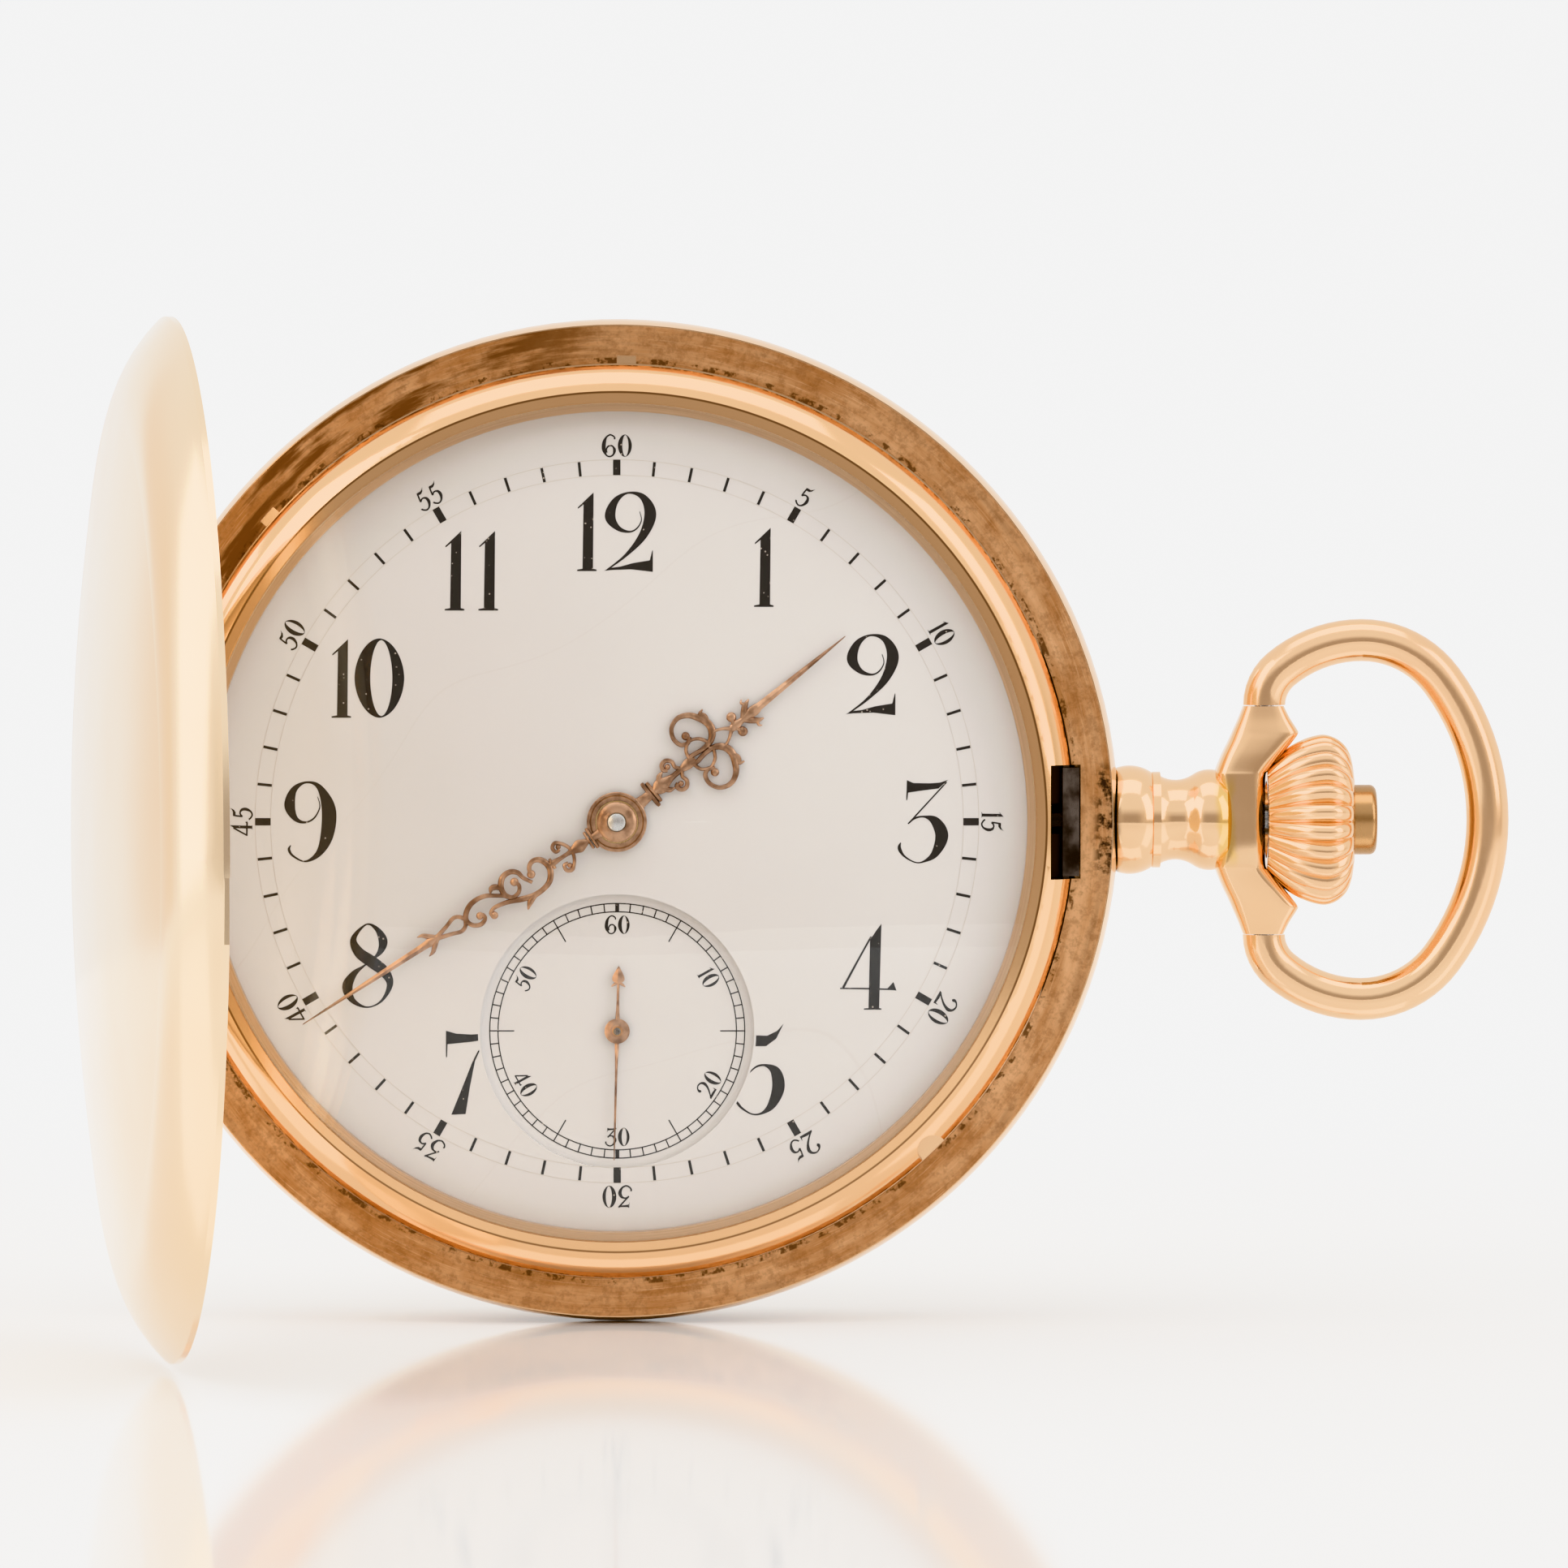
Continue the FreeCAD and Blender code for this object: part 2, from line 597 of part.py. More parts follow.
def bow_yoke():
    """Crosspiece at the head of the pendant that carries the bow's pivots."""
    body = new_body("bow_yoke")
    half = [(S.yoke_start, 2.77), (32.6, S.yoke_arm), (34.66, S.yoke_arm), (35.4, 4.5),
            (33.75, 2.77), (S.yoke_face, 2.4)]
    outline = half + [(corner[0], -measure(corner[1])) for corner in reversed(half)]
    low, high = S.stem_height - S.yoke_thick / 2, S.stem_height + S.yoke_thick / 2
    pad(body, [outline], low, high)
    cut(body, [Round(0, S.stem_height, 2.68)], 30.9, S.neck_top, plane="YZ")
    cut(body, [Round(0, S.stem_height, S.neck_bore)], S.neck_top - 0.1, 34.0, plane="YZ")
    for start, end in ((3.9, 6.0), (-6.0, -3.9)):
        cut(body, [Round(S.bow_pivot_x, S.stem_height, 0.5)], start, end, plane="XZ")


def bow_path():
    """Centre line of half the bow: foot, corner, shoulder and apex arcs, all tangent."""
    foot_radius, shoulder_radius = 2.4, 5.2
    wide, high = S.bow_top_x - S.bow_pivot_x, S.bow_half_width - S.bow_foot
    corner_radius = (wide * wide + high * high - wide * (2 * foot_radius)) / ((high - foot_radius) * 2)
    reach, lift = S.bow_apex - S.bow_top_x, S.bow_half_width - shoulder_radius
    apex_radius = ((reach * reach + lift * lift - shoulder_radius ** 2)
                   / ((reach - shoulder_radius) * 2))
    foot_centre = (S.bow_pivot_x + foot_radius, S.bow_foot)
    corner_centre = (S.bow_top_x, S.bow_half_width - corner_radius)
    apex_centre = (S.bow_apex - apex_radius, measure(0))
    shoulder_centre = (S.bow_top_x, lift)

    def touch(outer, outer_radius, inner, inner_radius):
        scale = outer_radius / (outer_radius - inner_radius)
        return tuple(outer[k] + (inner[k] - outer[k]) * scale for k in (0, 1))

    first = touch(corner_centre, corner_radius, foot_centre, foot_radius)
    second = touch(apex_centre, apex_radius, shoulder_centre, shoulder_radius)
    half = [(S.bow_pivot_x, S.bow_foot), first + (-measure(foot_radius),),
            (S.bow_top_x, S.bow_half_width, -corner_radius),
            second + (-measure(shoulder_radius),)]
    mirror = [second[:1] + (-second[1], -apex_radius),
              (S.bow_top_x, -S.bow_half_width, -measure(shoulder_radius)),
              (first[0], -first[1], -corner_radius),
              (S.bow_pivot_x, -S.bow_foot, -measure(foot_radius))]
    return half + mirror


def bow():
    body = new_body("bow")
    path = new_sketch(body, "XY", [bow_path()], S.stem_height, closed=False)
    section = new_sketch(body, "XZ", [Round(S.bow_pivot_x, S.stem_height, S.bow_wire)],
                         -S.bow_foot)
    pipe = body.newObject("PartDesign::AdditivePipe", "bow_pipe")
    pipe.Profile = section
    pipe.Spine = (path, [])
    doc.recompute()
    for start, end in ((5.9, 7.3), (-7.3, -5.9)):
        cut(body, [Round(S.bow_pivot_x, S.stem_height, 0.55)], start, end, plane="XZ")


def bow_pivot_pins():
    low, high = 3.9, 7.2
    pieces = []
    for name, start in (("bow_pin_upper", low), ("bow_pin_lower", -high)):
        pieces.append(cylinder(name, 0.5, 0, high - low, frame="upright",
                               at=(S.bow_pivot_x, start, S.stem_height)))
    compound("bow_pivot_pins", pieces)


def crown():
    body = new_body("crown", "stem", (0, 0, S.stem_height))
    stem, chamber, mouth = 0.75, 1.25, S.button_radius + 0.04
    spin(body, [
        (stem, S.crown_start), (2.6, S.crown_start), (S.crown_radius - 0.1, 35.75),
        (S.crown_radius, 36.0, 0.6), (S.crown_radius, 36.9), (2.3, S.crown_end, 2.6),
        (mouth, S.crown_end), (mouth, 37.4), (chamber, 37.4), (chamber, 35.4), (stem, 35.4)])
    flute = cut(body, [Round(S.crown_radius + 0.16, 0, 0.4)], S.crown_start, S.crown_end)
    around(body, flute, S.crown_flutes)


def crown_button():
    head = new_body("crown_button", "stem", (0, 0, S.stem_height))
    spin(head, [(0, 38.05), (S.button_radius, 38.05), (S.button_radius, S.button_end - 0.35),
                (S.button_radius - 0.35, S.button_end, 0.35), (0, S.button_end)])
    rod = new_body("release_rod", "stem", (0, 0, S.stem_height))
    pad(rod, [Round(0, 0, 0.38)], 24.6, 38.05)
    collar = new_body("release_collar", "stem", (0, 0, S.stem_height))
    spin(collar, box(0.8, 24.0, 1.35, 24.8))
    pad(collar, [Round(0, 24.4, 0.2)], -0.9, 0.9, plane="YZ")


def button_spring():
    """Coil under the button, closed round the release rod."""
    coil = doc.addObject("Part::Helix", "button_spring_line")
    coil.Pitch, coil.Height, coil.Radius = 0.5, 2.25, 0.8
    wire = doc.addObject("Part::Circle", "button_spring_wire")
    wire.Radius = 0.11
    wire.Placement = FreeCAD.Placement(V(0.8, 0, 0), FreeCAD.Rotation(V(1, 0, 0), 90))
    sweep = doc.addObject("Part::Sweep", "button_spring")
    sweep.Label = "button_spring"
    sweep.Sections = [wire]
    sweep.Spine = (coil, ["Edge1"])
    sweep.Solid = True
    sweep.Frenet = True
    place(sweep, "stem", (35.6, 0, S.stem_height))
    node(sweep)


def winding_stem():
    body = new_body("winding_stem", "stem", (0, 0, S.stem_height))
    thick, bore = 0.75, 0.42
    spin(body, [(0, 13.1), (S.stem_radius, 13.1), (S.stem_radius, 22.0), (thick, 22.2),
                (thick, 35.4), (bore, 35.4), (bore, 22.6), (0, 22.6)])
    cut(body, [box(-0.25, 23.45, 0.25, 24.75)], -1, 1, plane="YZ")


def dog_tooth(half_angle, inner=0.75, outer=1.1):
    return [polar(inner, -half_angle), polar(outer, -half_angle), polar(outer, half_angle),
            polar(inner, half_angle)]


def winding_pinion():
    body = new_body("winding_pinion", "stem", (0, 0, S.stem_height))
    hub_start, start, end = 15.2, 15.7, 16.7
    spin(body, box(S.stem_radius + 0.04, hub_start, 1.15, start + 0.1))
    pitch = S.winding_pitch * (2 * math.pi) / S.winding_teeth
    tip, bottom = S.winding_pitch + 0.1, S.winding_pitch - 0.25
    spin(body, box(S.stem_radius + 0.04, start, tip, end))
    cut_teeth(body, S.winding_teeth, pitch, tip, bottom, start, end, 90, (0.55, 0.82))
    slot = cut(body, [dog_tooth(17, 0.5, 1.3)], hub_start, hub_start + 0.24)
    around(body, slot, 6)


def sliding_clutch():
    body = new_body("sliding_clutch", "stem", (0, 0, S.stem_height))
    bore = S.stem_radius + 0.04
    spin(body, [(bore, 14.0), (1.15, 14.0), (1.15, 14.4), (0.9, 14.4), (0.9, 14.8),
                (1.15, 14.8), (1.15, 15.18), (bore, 15.18)])
    around(body, pad(body, [dog_tooth(12)], 15.1, 15.38), 6)


# --- Winding wheels ---------------------------------------------------------------------------

def crown_wheel():
    """Spur wheel on the bridge's back with a skirt of face teeth reaching down to the stem."""
    body = new_body("crown_wheel", at=CROWN_WHEEL + (0,))
    gear(body, S.crown_wheel_teeth, ratchet_module, S.wheel_back, S.wheel_front,
         facing(CROWN_WHEEL, BARREL))
    skirt_in, skirt_out, skirt_end = 3.6, 4.4, 5.98
    pad(body, [Round(0, 0, skirt_out), Round(0, 0, skirt_in)], S.wheel_back, skirt_end)
    half = 0.68 * 180 / value(S.face_teeth)
    gap = cut(body, [dog_tooth(half, skirt_in - 0.1, skirt_out + 0.1)], skirt_end - 0.53, skirt_end,
              angle=180 / value(S.face_teeth))
    around(body, gap, S.face_teeth)
    cut(body, [Round(0, 0, 0.84)], S.wheel_back - 0.1, S.wheel_front + 0.1)


def crown_wheel_screw():
    body = new_body("crown_wheel_screw", at=CROWN_WHEEL + (0,))
    spin(body, [(0, 3.45), (1.7, 3.45), (1.7, 3.8), (0.8, 3.8), (0.8, S.plate_back),
                (0, S.plate_back)])
    cut(body, [box(-2, -0.2, 2, 0.2)], 3.4, 3.6, angle=35)


def barrel_group():
    at = BARREL + (0,)
    ratchet = new_body("ratchet_wheel", at=at)
    gear(ratchet, S.ratchet_teeth, ratchet_module, S.wheel_back, S.wheel_front,
         tooth_facing(BARREL, CROWN_WHEEL, S.ratchet_teeth))
    cut(ratchet, [Round(0, 0, 0.8)], S.wheel_back - 0.1, S.wheel_front + 0.1)
    cap = new_body("ratchet_screw", at=at)
    spin(cap, box(0, 3.5, 1.6, S.wheel_back))
    cut(cap, [box(-2, -0.2, 2, 0.2)], 3.45, 3.65, angle=-20)
    arbor = new_body("barrel_arbor", at=at)
    spin(arbor, [(0, S.wheel_back), (0.8, S.wheel_back), (0.8, 6.5), (1.25, 6.5), (1.25, 7.65),
                 (0.8, 7.65), (0.8, 7.95), (0.5, 7.95), (0.5, 8.3), (0, 8.3)])
    drum = new_body("mainspring_barrel", at=at)
    wall, low, high, teeth_end = 7.2, 6.25, 7.9, 6.75
    gear(drum, S.barrel_teeth, S.barrel_module, low, teeth_end,
         tooth_facing(BARREL, CENTER, S.barrel_teeth))
    pad(drum, [Round(0, 0, wall)], low, high)
    groove(drum, [box(0, low + 0.2, wall - 0.4, high - 0.2)], 360)
    cut(drum, [Round(0, 0, 0.85)], low - 0.1, high + 0.1)


def strip_spring(label, centre, inner, outer, turns, thick, low, high):
    """A flat spiral strip of half circles whose radius grows at every half turn."""
    step = (outer - inner) / (2 * turns)

    def edges(offset):
        made, x = [], inner + offset
        for half in range(2 * turns):
            radius = inner + offset + step * (half + 0.5)
            side = 1 if half % 2 == 0 else -1
            middle = x - side * radius
            top, end = V(middle, side * radius, 0), V(middle - side * radius, 0, 0)
            made.append(Part.Arc(V(x, 0, 0), top, end).toShape())
            x = end.x
        return made

    inside, outside = edges(0), edges(thick)
    ends = [Part.makeLine(a.Vertexes[index].Point, b.Vertexes[index].Point)
            for index, a, b in ((0, inside[0], outside[0]), (-1, inside[-1], outside[-1]))]
    outline = Part.Wire(Part.sortEdges(inside + outside + ends)[0])
    spring = doc.addObject("Part::Feature", label)
    spring.Label = label
    spring.Shape = Part.Face(outline).extrude(V(0, 0, high - low))
    place(spring, "dial", centre + (low,))
    node(spring)


def click_work():
    """Click beside the ratchet wheel, held by its own spring."""
    tip = value(ratchet_module * (S.ratchet_teeth / 2 + 0.9))
    bearing, lean = 120, 35
    pivot = beyond(BARREL, tip + 1.9, bearing)
    toward = bearing + 180 - lean
    click = new_body("click", at=pivot + (0,))
    pad(click, [Round(0, 0, 0.8)], S.wheel_back, S.wheel_front)
    pad(click, [[(0, -0.45), (2.05, -0.12), (2.05, 0.12), (0, 0.45)]], S.wheel_back,
        S.wheel_front, angle=toward)
    cut(click, [Round(0, 0, 0.34)], S.wheel_back - 0.1, S.wheel_front + 0.1)
    spring = new_body("click_spring", at=pivot + (0,))
    low, high = S.wheel_back - 0.25, S.wheel_back - 0.05
    spin(spring, box(0, low, 0.3, S.bridge_back))
    pad(spring, [Round(0, 0, 0.7)], low, high)
    pad(spring, [box(0.2, -0.1, 3.4, 0.1)], low, high, angle=toward + 60)


# --- Going train and escapement ---------------------------------------------------------------

def arbor(body, radius, low, high):
    spin(body, box(0, low, radius, high))


def train():
    center = new_body("center_wheel")
    arbor(center, 0.45, S.arbor_end, 11.1)
    gear(center, S.center_teeth, S.center_module, 5.85, 6.05, facing(CENTER, THIRD))
    gear(center, S.center_pinion, S.barrel_module, 6.15, 6.8, facing(CENTER, BARREL), 0.7, 1.2)
    spokes(center, 5, 1.5, 5.2, 12, 5.8, 6.1)

    third = new_body("third_wheel", at=THIRD + (0,))
    arbor(third, 0.2, S.arbor_end, 8.0)
    gear(third, S.third_pinion, S.center_module, 5.75, 6.15,
         tooth_facing(THIRD, CENTER, S.third_pinion), 0.7, 1.2)
    gear(third, S.third_teeth, S.third_module, 6.35, 6.5, facing(THIRD, FOURTH))
    spokes(third, 5, 1.2, 4.4, 13, 6.3, 6.55)

    fourth = new_body("fourth_wheel", at=FOURTH + (0,))
    arbor(fourth, 0.2, S.arbor_end, 10.15)
    gear(fourth, S.fourth_pinion, S.third_module, 6.2, 6.6,
         tooth_facing(FOURTH, THIRD, S.fourth_pinion), 0.7, 1.2)
    gear(fourth, S.fourth_teeth, S.fourth_module, 6.7, 6.85, facing(FOURTH, ESCAPE))
    spokes(fourth, 5, 1.1, 3.7, 14, 6.65, 6.9)

    escape = new_body("escape_wheel", at=ESCAPE + (0,))
    arbor(escape, 0.2, S.arbor_end, 8.0)
    gear(escape, S.escape_pinion, S.fourth_module, 6.5, 6.95,
         tooth_facing(ESCAPE, FOURTH, S.escape_pinion), 0.7, 1.2)
    pad(escape, [Round(0, 0, S.escape_tip)], 7.0, 7.15)
    outside = S.escape_tip + 0.1
    notch = cut(escape, [[polar(2.05, 4), polar(outside, 2), polar(outside, 22), polar(2.05, 17)]],
                6.98, 7.18, angle=value(S.pallet_angle))
    around(escape, notch, S.escape_teeth)
    spokes(escape, 4, 0.7, 1.7, 20, 6.98, 7.18)
    pad(escape, [Round(0, 0, 0.5)], 6.9, 7.05)


def escapement():
    line = value(S.pallet_angle)
    fork = new_body("pallet_fork", at=PALLET + (0,))
    arbor(fork, 0.18, 6.45, 8.0)
    low, high = 6.78, 6.93
    pad(fork, [Round(0, 0, 0.5)], low, high)
    pad(fork, [[(0, -0.22), (4.0, -0.34), (4.0, 0.34), (0, 0.22)]], low, high, angle=line)
    cut(fork, [box(3.45, -0.17, 4.1, 0.17)], low, high, angle=line)
    stones = []
    for side in (-1, 1):
        arm = line + 180 + side * 60
        pad(fork, [[(0, -0.25), (1.75, -0.2), (1.75, 0.2), (0, 0.25)]], low, high, angle=arm)
        stone = doc.addObject("Part::Box", f"pallet_stone_{'entry' if side < 0 else 'exit'}")
        stone.Length, stone.Width, stone.Height = 0.6, 0.2, 0.2
        turn = FreeCAD.Rotation(V(0, 0, 1), arm)
        corner = turn.multVec(V(1.15, -0.1, 0))
        origin = V(value(PALLET[0]), value(PALLET[1]), high) + corner
        stone.Placement = FreeCAD.Placement(V(origin.x, -origin.z, origin.y), DIAL_TURN * turn)
        stones.append(stone)
    compound("pallet_jewels", stones)

    wheel = new_body("balance_wheel", at=BALANCE + (0,))
    rim_in = S.balance_rim - 0.45
    pad(wheel, [Round(0, 0, S.balance_rim), Round(0, 0, rim_in)], 5.7, 6.3)
    pad(wheel, [box(-rim_in - 0.1, -0.3, rim_in + 0.1, 0.3)], 5.9, 6.1, angle=line)
    pad(wheel, [Round(0, 0, 0.8)], 5.85, 6.15)
    cut(wheel, [Round(0, 0, 0.3)], 5.6, 6.4)

    staff = new_body("balance_staff", at=BALANCE + (0,))
    spin(staff, [(0, 4.65), (0.15, 4.65), (0.15, 5.0), (0.3, 5.0), (0.3, 6.5), (1.3, 6.5),
                 (1.3, 6.62), (0.3, 6.62), (0.3, 7.1), (0.15, 7.1), (0.15, 8.0), (0, 8.0)])
    pad(staff, [Round(1.0, 0, 0.14)], 6.55, 6.85, angle=line + 180)
    cut(staff, [Round(1.32, 0, 0.25)], 6.45, 6.66, angle=line + 180)

    heads = []
    for index in range(12):
        angle = line + 15 + 30 * index
        at = beyond(BALANCE, S.balance_rim, angle) + (6.0,)
        head = cylinder(f"balance_screw_{index}", 0.24, 0, 0.34, at=at)
        out = FreeCAD.Rotation(V(0, 0, 1), V(math.cos(math.radians(angle)), 0,
                                             math.sin(math.radians(angle))))
        head.Placement = FreeCAD.Placement(head.Placement.Base, out)
        heads.append(head)
    compound("balance_screws", heads)
    strip_spring("hairspring", BALANCE, 0.62, 3.7, 9, 0.07, 5.2, 5.42)


# --- Motion work under the dial ---------------------------------------------------------------

def motion_work():
    cannon = new_body("cannon_pinion")
    low = 8.46
    gear(cannon, S.cannon_teeth, S.motion_module, low, 8.73, facing(CENTER, MINUTE), 0.7, 1.2)
    pad(cannon, [Round(0, 0, 0.75)], low, 11.0)
    cut(cannon, [Round(0, 0, 0.46)], low - 0.1, 11.1)

    minute = new_body("minute_wheel", at=MINUTE + (0,))
    gear(minute, S.minute_teeth, S.motion_module, 8.5, 8.7,
         tooth_facing(MINUTE, CENTER, S.minute_teeth))
    gear(minute, S.hour_pinion, S.hour_module, 8.65, 9.0, facing(MINUTE, CENTER), 0.7, 1.2)
    cut(minute, [Round(0, 0, 0.3)], 8.4, 9.1)

    hour = new_body("hour_wheel")
    gear(hour, S.hour_teeth, S.hour_module, 8.76, 8.95, tooth_facing(CENTER, MINUTE, S.hour_teeth))
    pad(hour, [Round(0, 0, 1.1)], 8.76, 10.6)
    cut(hour, [Round(0, 0, 0.8)], 8.7, 10.7)


# --- Plates, bridges and their fittings -------------------------------------------------------

TRAIN_HOLES = (THIRD, FOURTH, ESCAPE)


def main_plate():
    body = new_body("main_plate")
    back, front = S.plate_back, S.plate_front
    spin(body, [(0, back), (S.plate_radius, back), (S.plate_radius, S.rib_front),
                (S.plate_flange, S.rib_front), (S.plate_flange, front), (0, front)])
    cut(body, [Round(*BARREL, 7.5)], back, 8.0)
    holes = [Round(*BARREL, 0.55), Round(*CENTER, 0.5)]
    holes += [Round(*at, S.jewel_radius) for at in TRAIN_HOLES + (PALLET, BALANCE)]
    holes += [Round(*at, S.screw_hole) for at in BRIDGE_SCREWS + [COCK_SCREW] + CASE_SCREWS]
    cut(body, holes, back, front)
    cut(body, [box(13.0, -1.8, 18.3, 1.8)], back, front)
    cut(body, [Round(0, S.stem_height, 0.7)], 18.2, 21.6, plane="YZ")
    cut(body, [Round(*BALANCE, 1.6)], back, back + 0.15)
    pad(body, [Round(*MINUTE, 0.26)], front - 0.1, 9.1)


def sector_foot(body, start, end, inner, outer):
    """A curved foot under the rim of a bridge, down to the main plate."""
    loop = [polar(inner, start), polar(outer, start), polar(outer, end) + (outer,),
            polar(inner, end)]
    loop[0] = loop[0] + (-measure(inner),)
    pad(body, [loop], S.bridge_front, S.plate_back)


def bridges():
    edge = S.bridge_radius
    barrel = new_body("barrel_bridge")
    outline = [(-5.2, 1.6), (-3.0, -1.9), (5.0, -1.9), (8.5, -6.0), polar(edge, -20),
               polar(edge, 72) + (edge,), polar(edge, 158) + (edge,)]
    pad(barrel, [outline], S.bridge_back, S.bridge_front)
    sector_foot(barrel, 24, 100, 18.4, 19.6)
    sector_foot(barrel, 140, 156, 17.4, 19.6)
    holes = [Round(*BARREL, 0.85), Round(*CENTER, S.jewel_radius), Round(*CROWN_WHEEL, 4.55)]
    cut(barrel, holes + [Round(*at, S.screw_hole) for at in BRIDGE_SCREWS[:3]],
        S.bridge_back, S.plate_back)

    train_bridge = new_body("train_bridge")
    outline = [(8.2, -6.9), (4.8, -2.4), (0.3, -2.4), (-4.0, -5.2), (-6.4, -9.6), (-7.8, -11.0),
               polar(edge, -118), polar(edge, -70) + (edge,), polar(edge, -24) + (edge,)]
    pad(train_bridge, [outline], S.bridge_back, S.bridge_front)
    sector_foot(train_bridge, -116, -26, 16.6, 19.6)
    holes = [Round(*at, S.jewel_radius) for at in TRAIN_HOLES]
    cut(train_bridge, holes + [Round(*at, S.screw_hole) for at in BRIDGE_SCREWS[3:]],
        S.bridge_back, S.plate_back)

    cock = new_body("balance_cock")
    b_x, b_y = BALANCE
    foot = [(-16.6, 0.4), (-14.4, 1.5), (-10.6, 2.4), (-9.6, 2.9), (-18.8, 6.9),
            polar(edge, 183.5) + (edge,)]
    pad(cock, [foot], S.bridge_back - 0.1, S.plate_back)
    arm = [(-16.3, 0.8), (b_x - 2.3, b_y), (b_x, b_y - 2.3, 2.3), (b_x + 2.3, b_y, 2.3),
           (-10.4, 2.75)]
    pad(cock, [arm], S.bridge_back - 0.1, 5.0)
    cut(cock, [Round(*BALANCE, S.jewel_radius), Round(*COCK_SCREW, S.screw_hole)],
        S.bridge_back - 0.1, S.plate_back)

    pallet = new_body("pallet_bridge")
    line = value(S.pallet_angle) + 90
    ends = [beyond(PALLET, 3.2, line + turn) for turn in (0, 180)]
    corners = [beyond(ends[0], 0.6, line + 90), beyond(ends[0], 0.6, line - 90),
               beyond(ends[1], 0.6, line - 90), beyond(ends[1], 0.6, line + 90)]
    pad(pallet, [corners[::-1]], 6.42, 6.62)
    for end in ends:
        pad(pallet, [Round(*end, 0.6)], 6.42, S.plate_back)
    cut(pallet, [Round(*PALLET, 0.22)], 6.3, 6.7)


def bearing_jewels():
    jewels = []
    bores = [(at, S.jewel_bore) for at in TRAIN_HOLES] + [(PALLET, 0.21), (BALANCE, 0.18)]
    for index, (at, bore) in enumerate(bores):
        jewels.append(ring(f"plate_jewel_{index}", bore, S.jewel_radius, 7.4, 8.1, *at))
    for index, at in enumerate(TRAIN_HOLES):
        jewels.append(ring(f"bridge_jewel_{index}", S.jewel_bore, S.jewel_radius, 4.7, 5.4, *at))
    jewels.append(ring("center_jewel", 0.48, S.jewel_radius, 4.7, 5.4, *CENTER))
    jewels.append(ring("cock_jewel", 0.18, S.jewel_radius, 4.55, 4.95, *BALANCE))
    compound("bearing_jewels", jewels)


def fasteners():
    bolts = [screw(f"bridge_screw_{index}", *at, S.bridge_back, 8.2, slot_turn=40 * index)
             for index, at in enumerate(BRIDGE_SCREWS)]
    bolts.append(screw("cock_screw", *COCK_SCREW, S.bridge_back - 0.1, 8.2, slot_turn=75))
    compound("bridge_screws", bolts)
    held = [screw(f"case_screw_{index}", *at, S.rib_back, 8.2, head=0.75, shank=0.35,
                  slot_turn=20 + 70 * index) for index, at in enumerate(CASE_SCREWS)]
    compound("case_screws", held)
    feet = [cylinder(f"dial_foot_{index}", 0.5, S.plate_front, S.dial_back, *polar(19.6, angle))
            for index, angle in enumerate((15, 125, 250))]
    compound("dial_feet", feet)


def regulator():
    body = new_body("regulator", at=BALANCE + (0,))
    pad(body, [Round(0, 0, 1.5), Round(0, 0, 0.9)], 4.15, 4.38)
    pad(body, [[(1.3, -0.25), (4.6, -0.08), (4.6, 0.08), (1.3, 0.25)]], 4.15, 4.38, angle=100)


# --- Dial and hands ---------------------------------------------------------------------------

def dial():
    body = tube("dial", 1.25, S.dial_radius, S.dial_back, S.dial_front)
    cut(body, [Round(*FOURTH, S.seconds_sink)], S.dial_back, S.dial_front)
    sunk = new_body("seconds_dial", at=FOURTH + (0,))
    spin(sunk, box(0.35, S.dial_back - 0.5, S.seconds_sink + 0.5, S.dial_back))


def hand(label, length, tail, hub, bore, width, low, high, clock_angle, at=CENTER):
    """A flat tapered hand; clock_angle runs clockwise from twelve."""
    body = new_body(label, at=at + (0,))
    turn = 90 - value(clock_angle)
    pad(body, [Round(0, 0, hub)], low, high)
    blade = [(-measure(tail), -0.1), (0, -0.3), (measure(length) * 0.3, -width / 2),
             (measure(length) * 0.62, -0.3), (length, -0.07), (length, 0.07),
             (measure(length) * 0.62, 0.3), (measure(length) * 0.3, width / 2), (0, 0.3),
             (-measure(tail), 0.1)]
    pad(body, [blade], low, high, angle=turn)
    cut(body, [Round(0, 0, bore)], measure(low) - 0.1, measure(high) + 0.1)


def hands():
    hand("hour_hand", S.hour_length, 1.0, 1.55, 1.1, 3.0, 10.42, 10.58, S.hour_angle)
    hand("minute_hand", S.minute_length, 0.7, 1.05, 0.75, 2.2, 10.78, 10.93, S.minute_angle)
    hand("seconds_hand", S.seconds_length, S.seconds_tail, 0.65, 0.2, 0.5, 9.95, 10.07,
         S.seconds_angle, FOURTH)


# --- Build, check and write -------------------------------------------------------------------

def build():
    for make in (case_middle, front_cover, back_cover, cuvette, hinge_pins, bezel, crystal,
                 cover_springs, pendant_neck, bow_yoke, bow, bow_pivot_pins, crown, crown_button,
                 button_spring, winding_stem, winding_pinion, sliding_clutch, crown_wheel,
                 crown_wheel_screw, barrel_group, click_work, train, escapement, motion_work,
                 main_plate, bridges, bearing_jewels, fasteners, regulator, dial, hands):
        make()
    strip_spring("mainspring", BARREL, 1.5, 6.5, 10, 0.14, 6.6, 7.55)
    doc.recompute()


def check():
    faults = [f"{thing.Name}: {thing.State}" for thing in doc.Objects
              if {"Invalid", "Error"} & set(thing.State)]
    for piece in nodes:
        if piece.Shape.isNull() or not piece.Shape.isValid() or not piece.Shape.Solids:
            faults.append(f"{piece.Label}: no valid solid")
    if faults:
        raise RuntimeError("; ".join(faults))


def write():
    os.makedirs("parts", exist_ok=True)
    for piece in nodes:
        piece.Shape.exportStep(f"parts/{piece.Label}.step")
    print(len(nodes), "nodes written")


build()
check()
write()
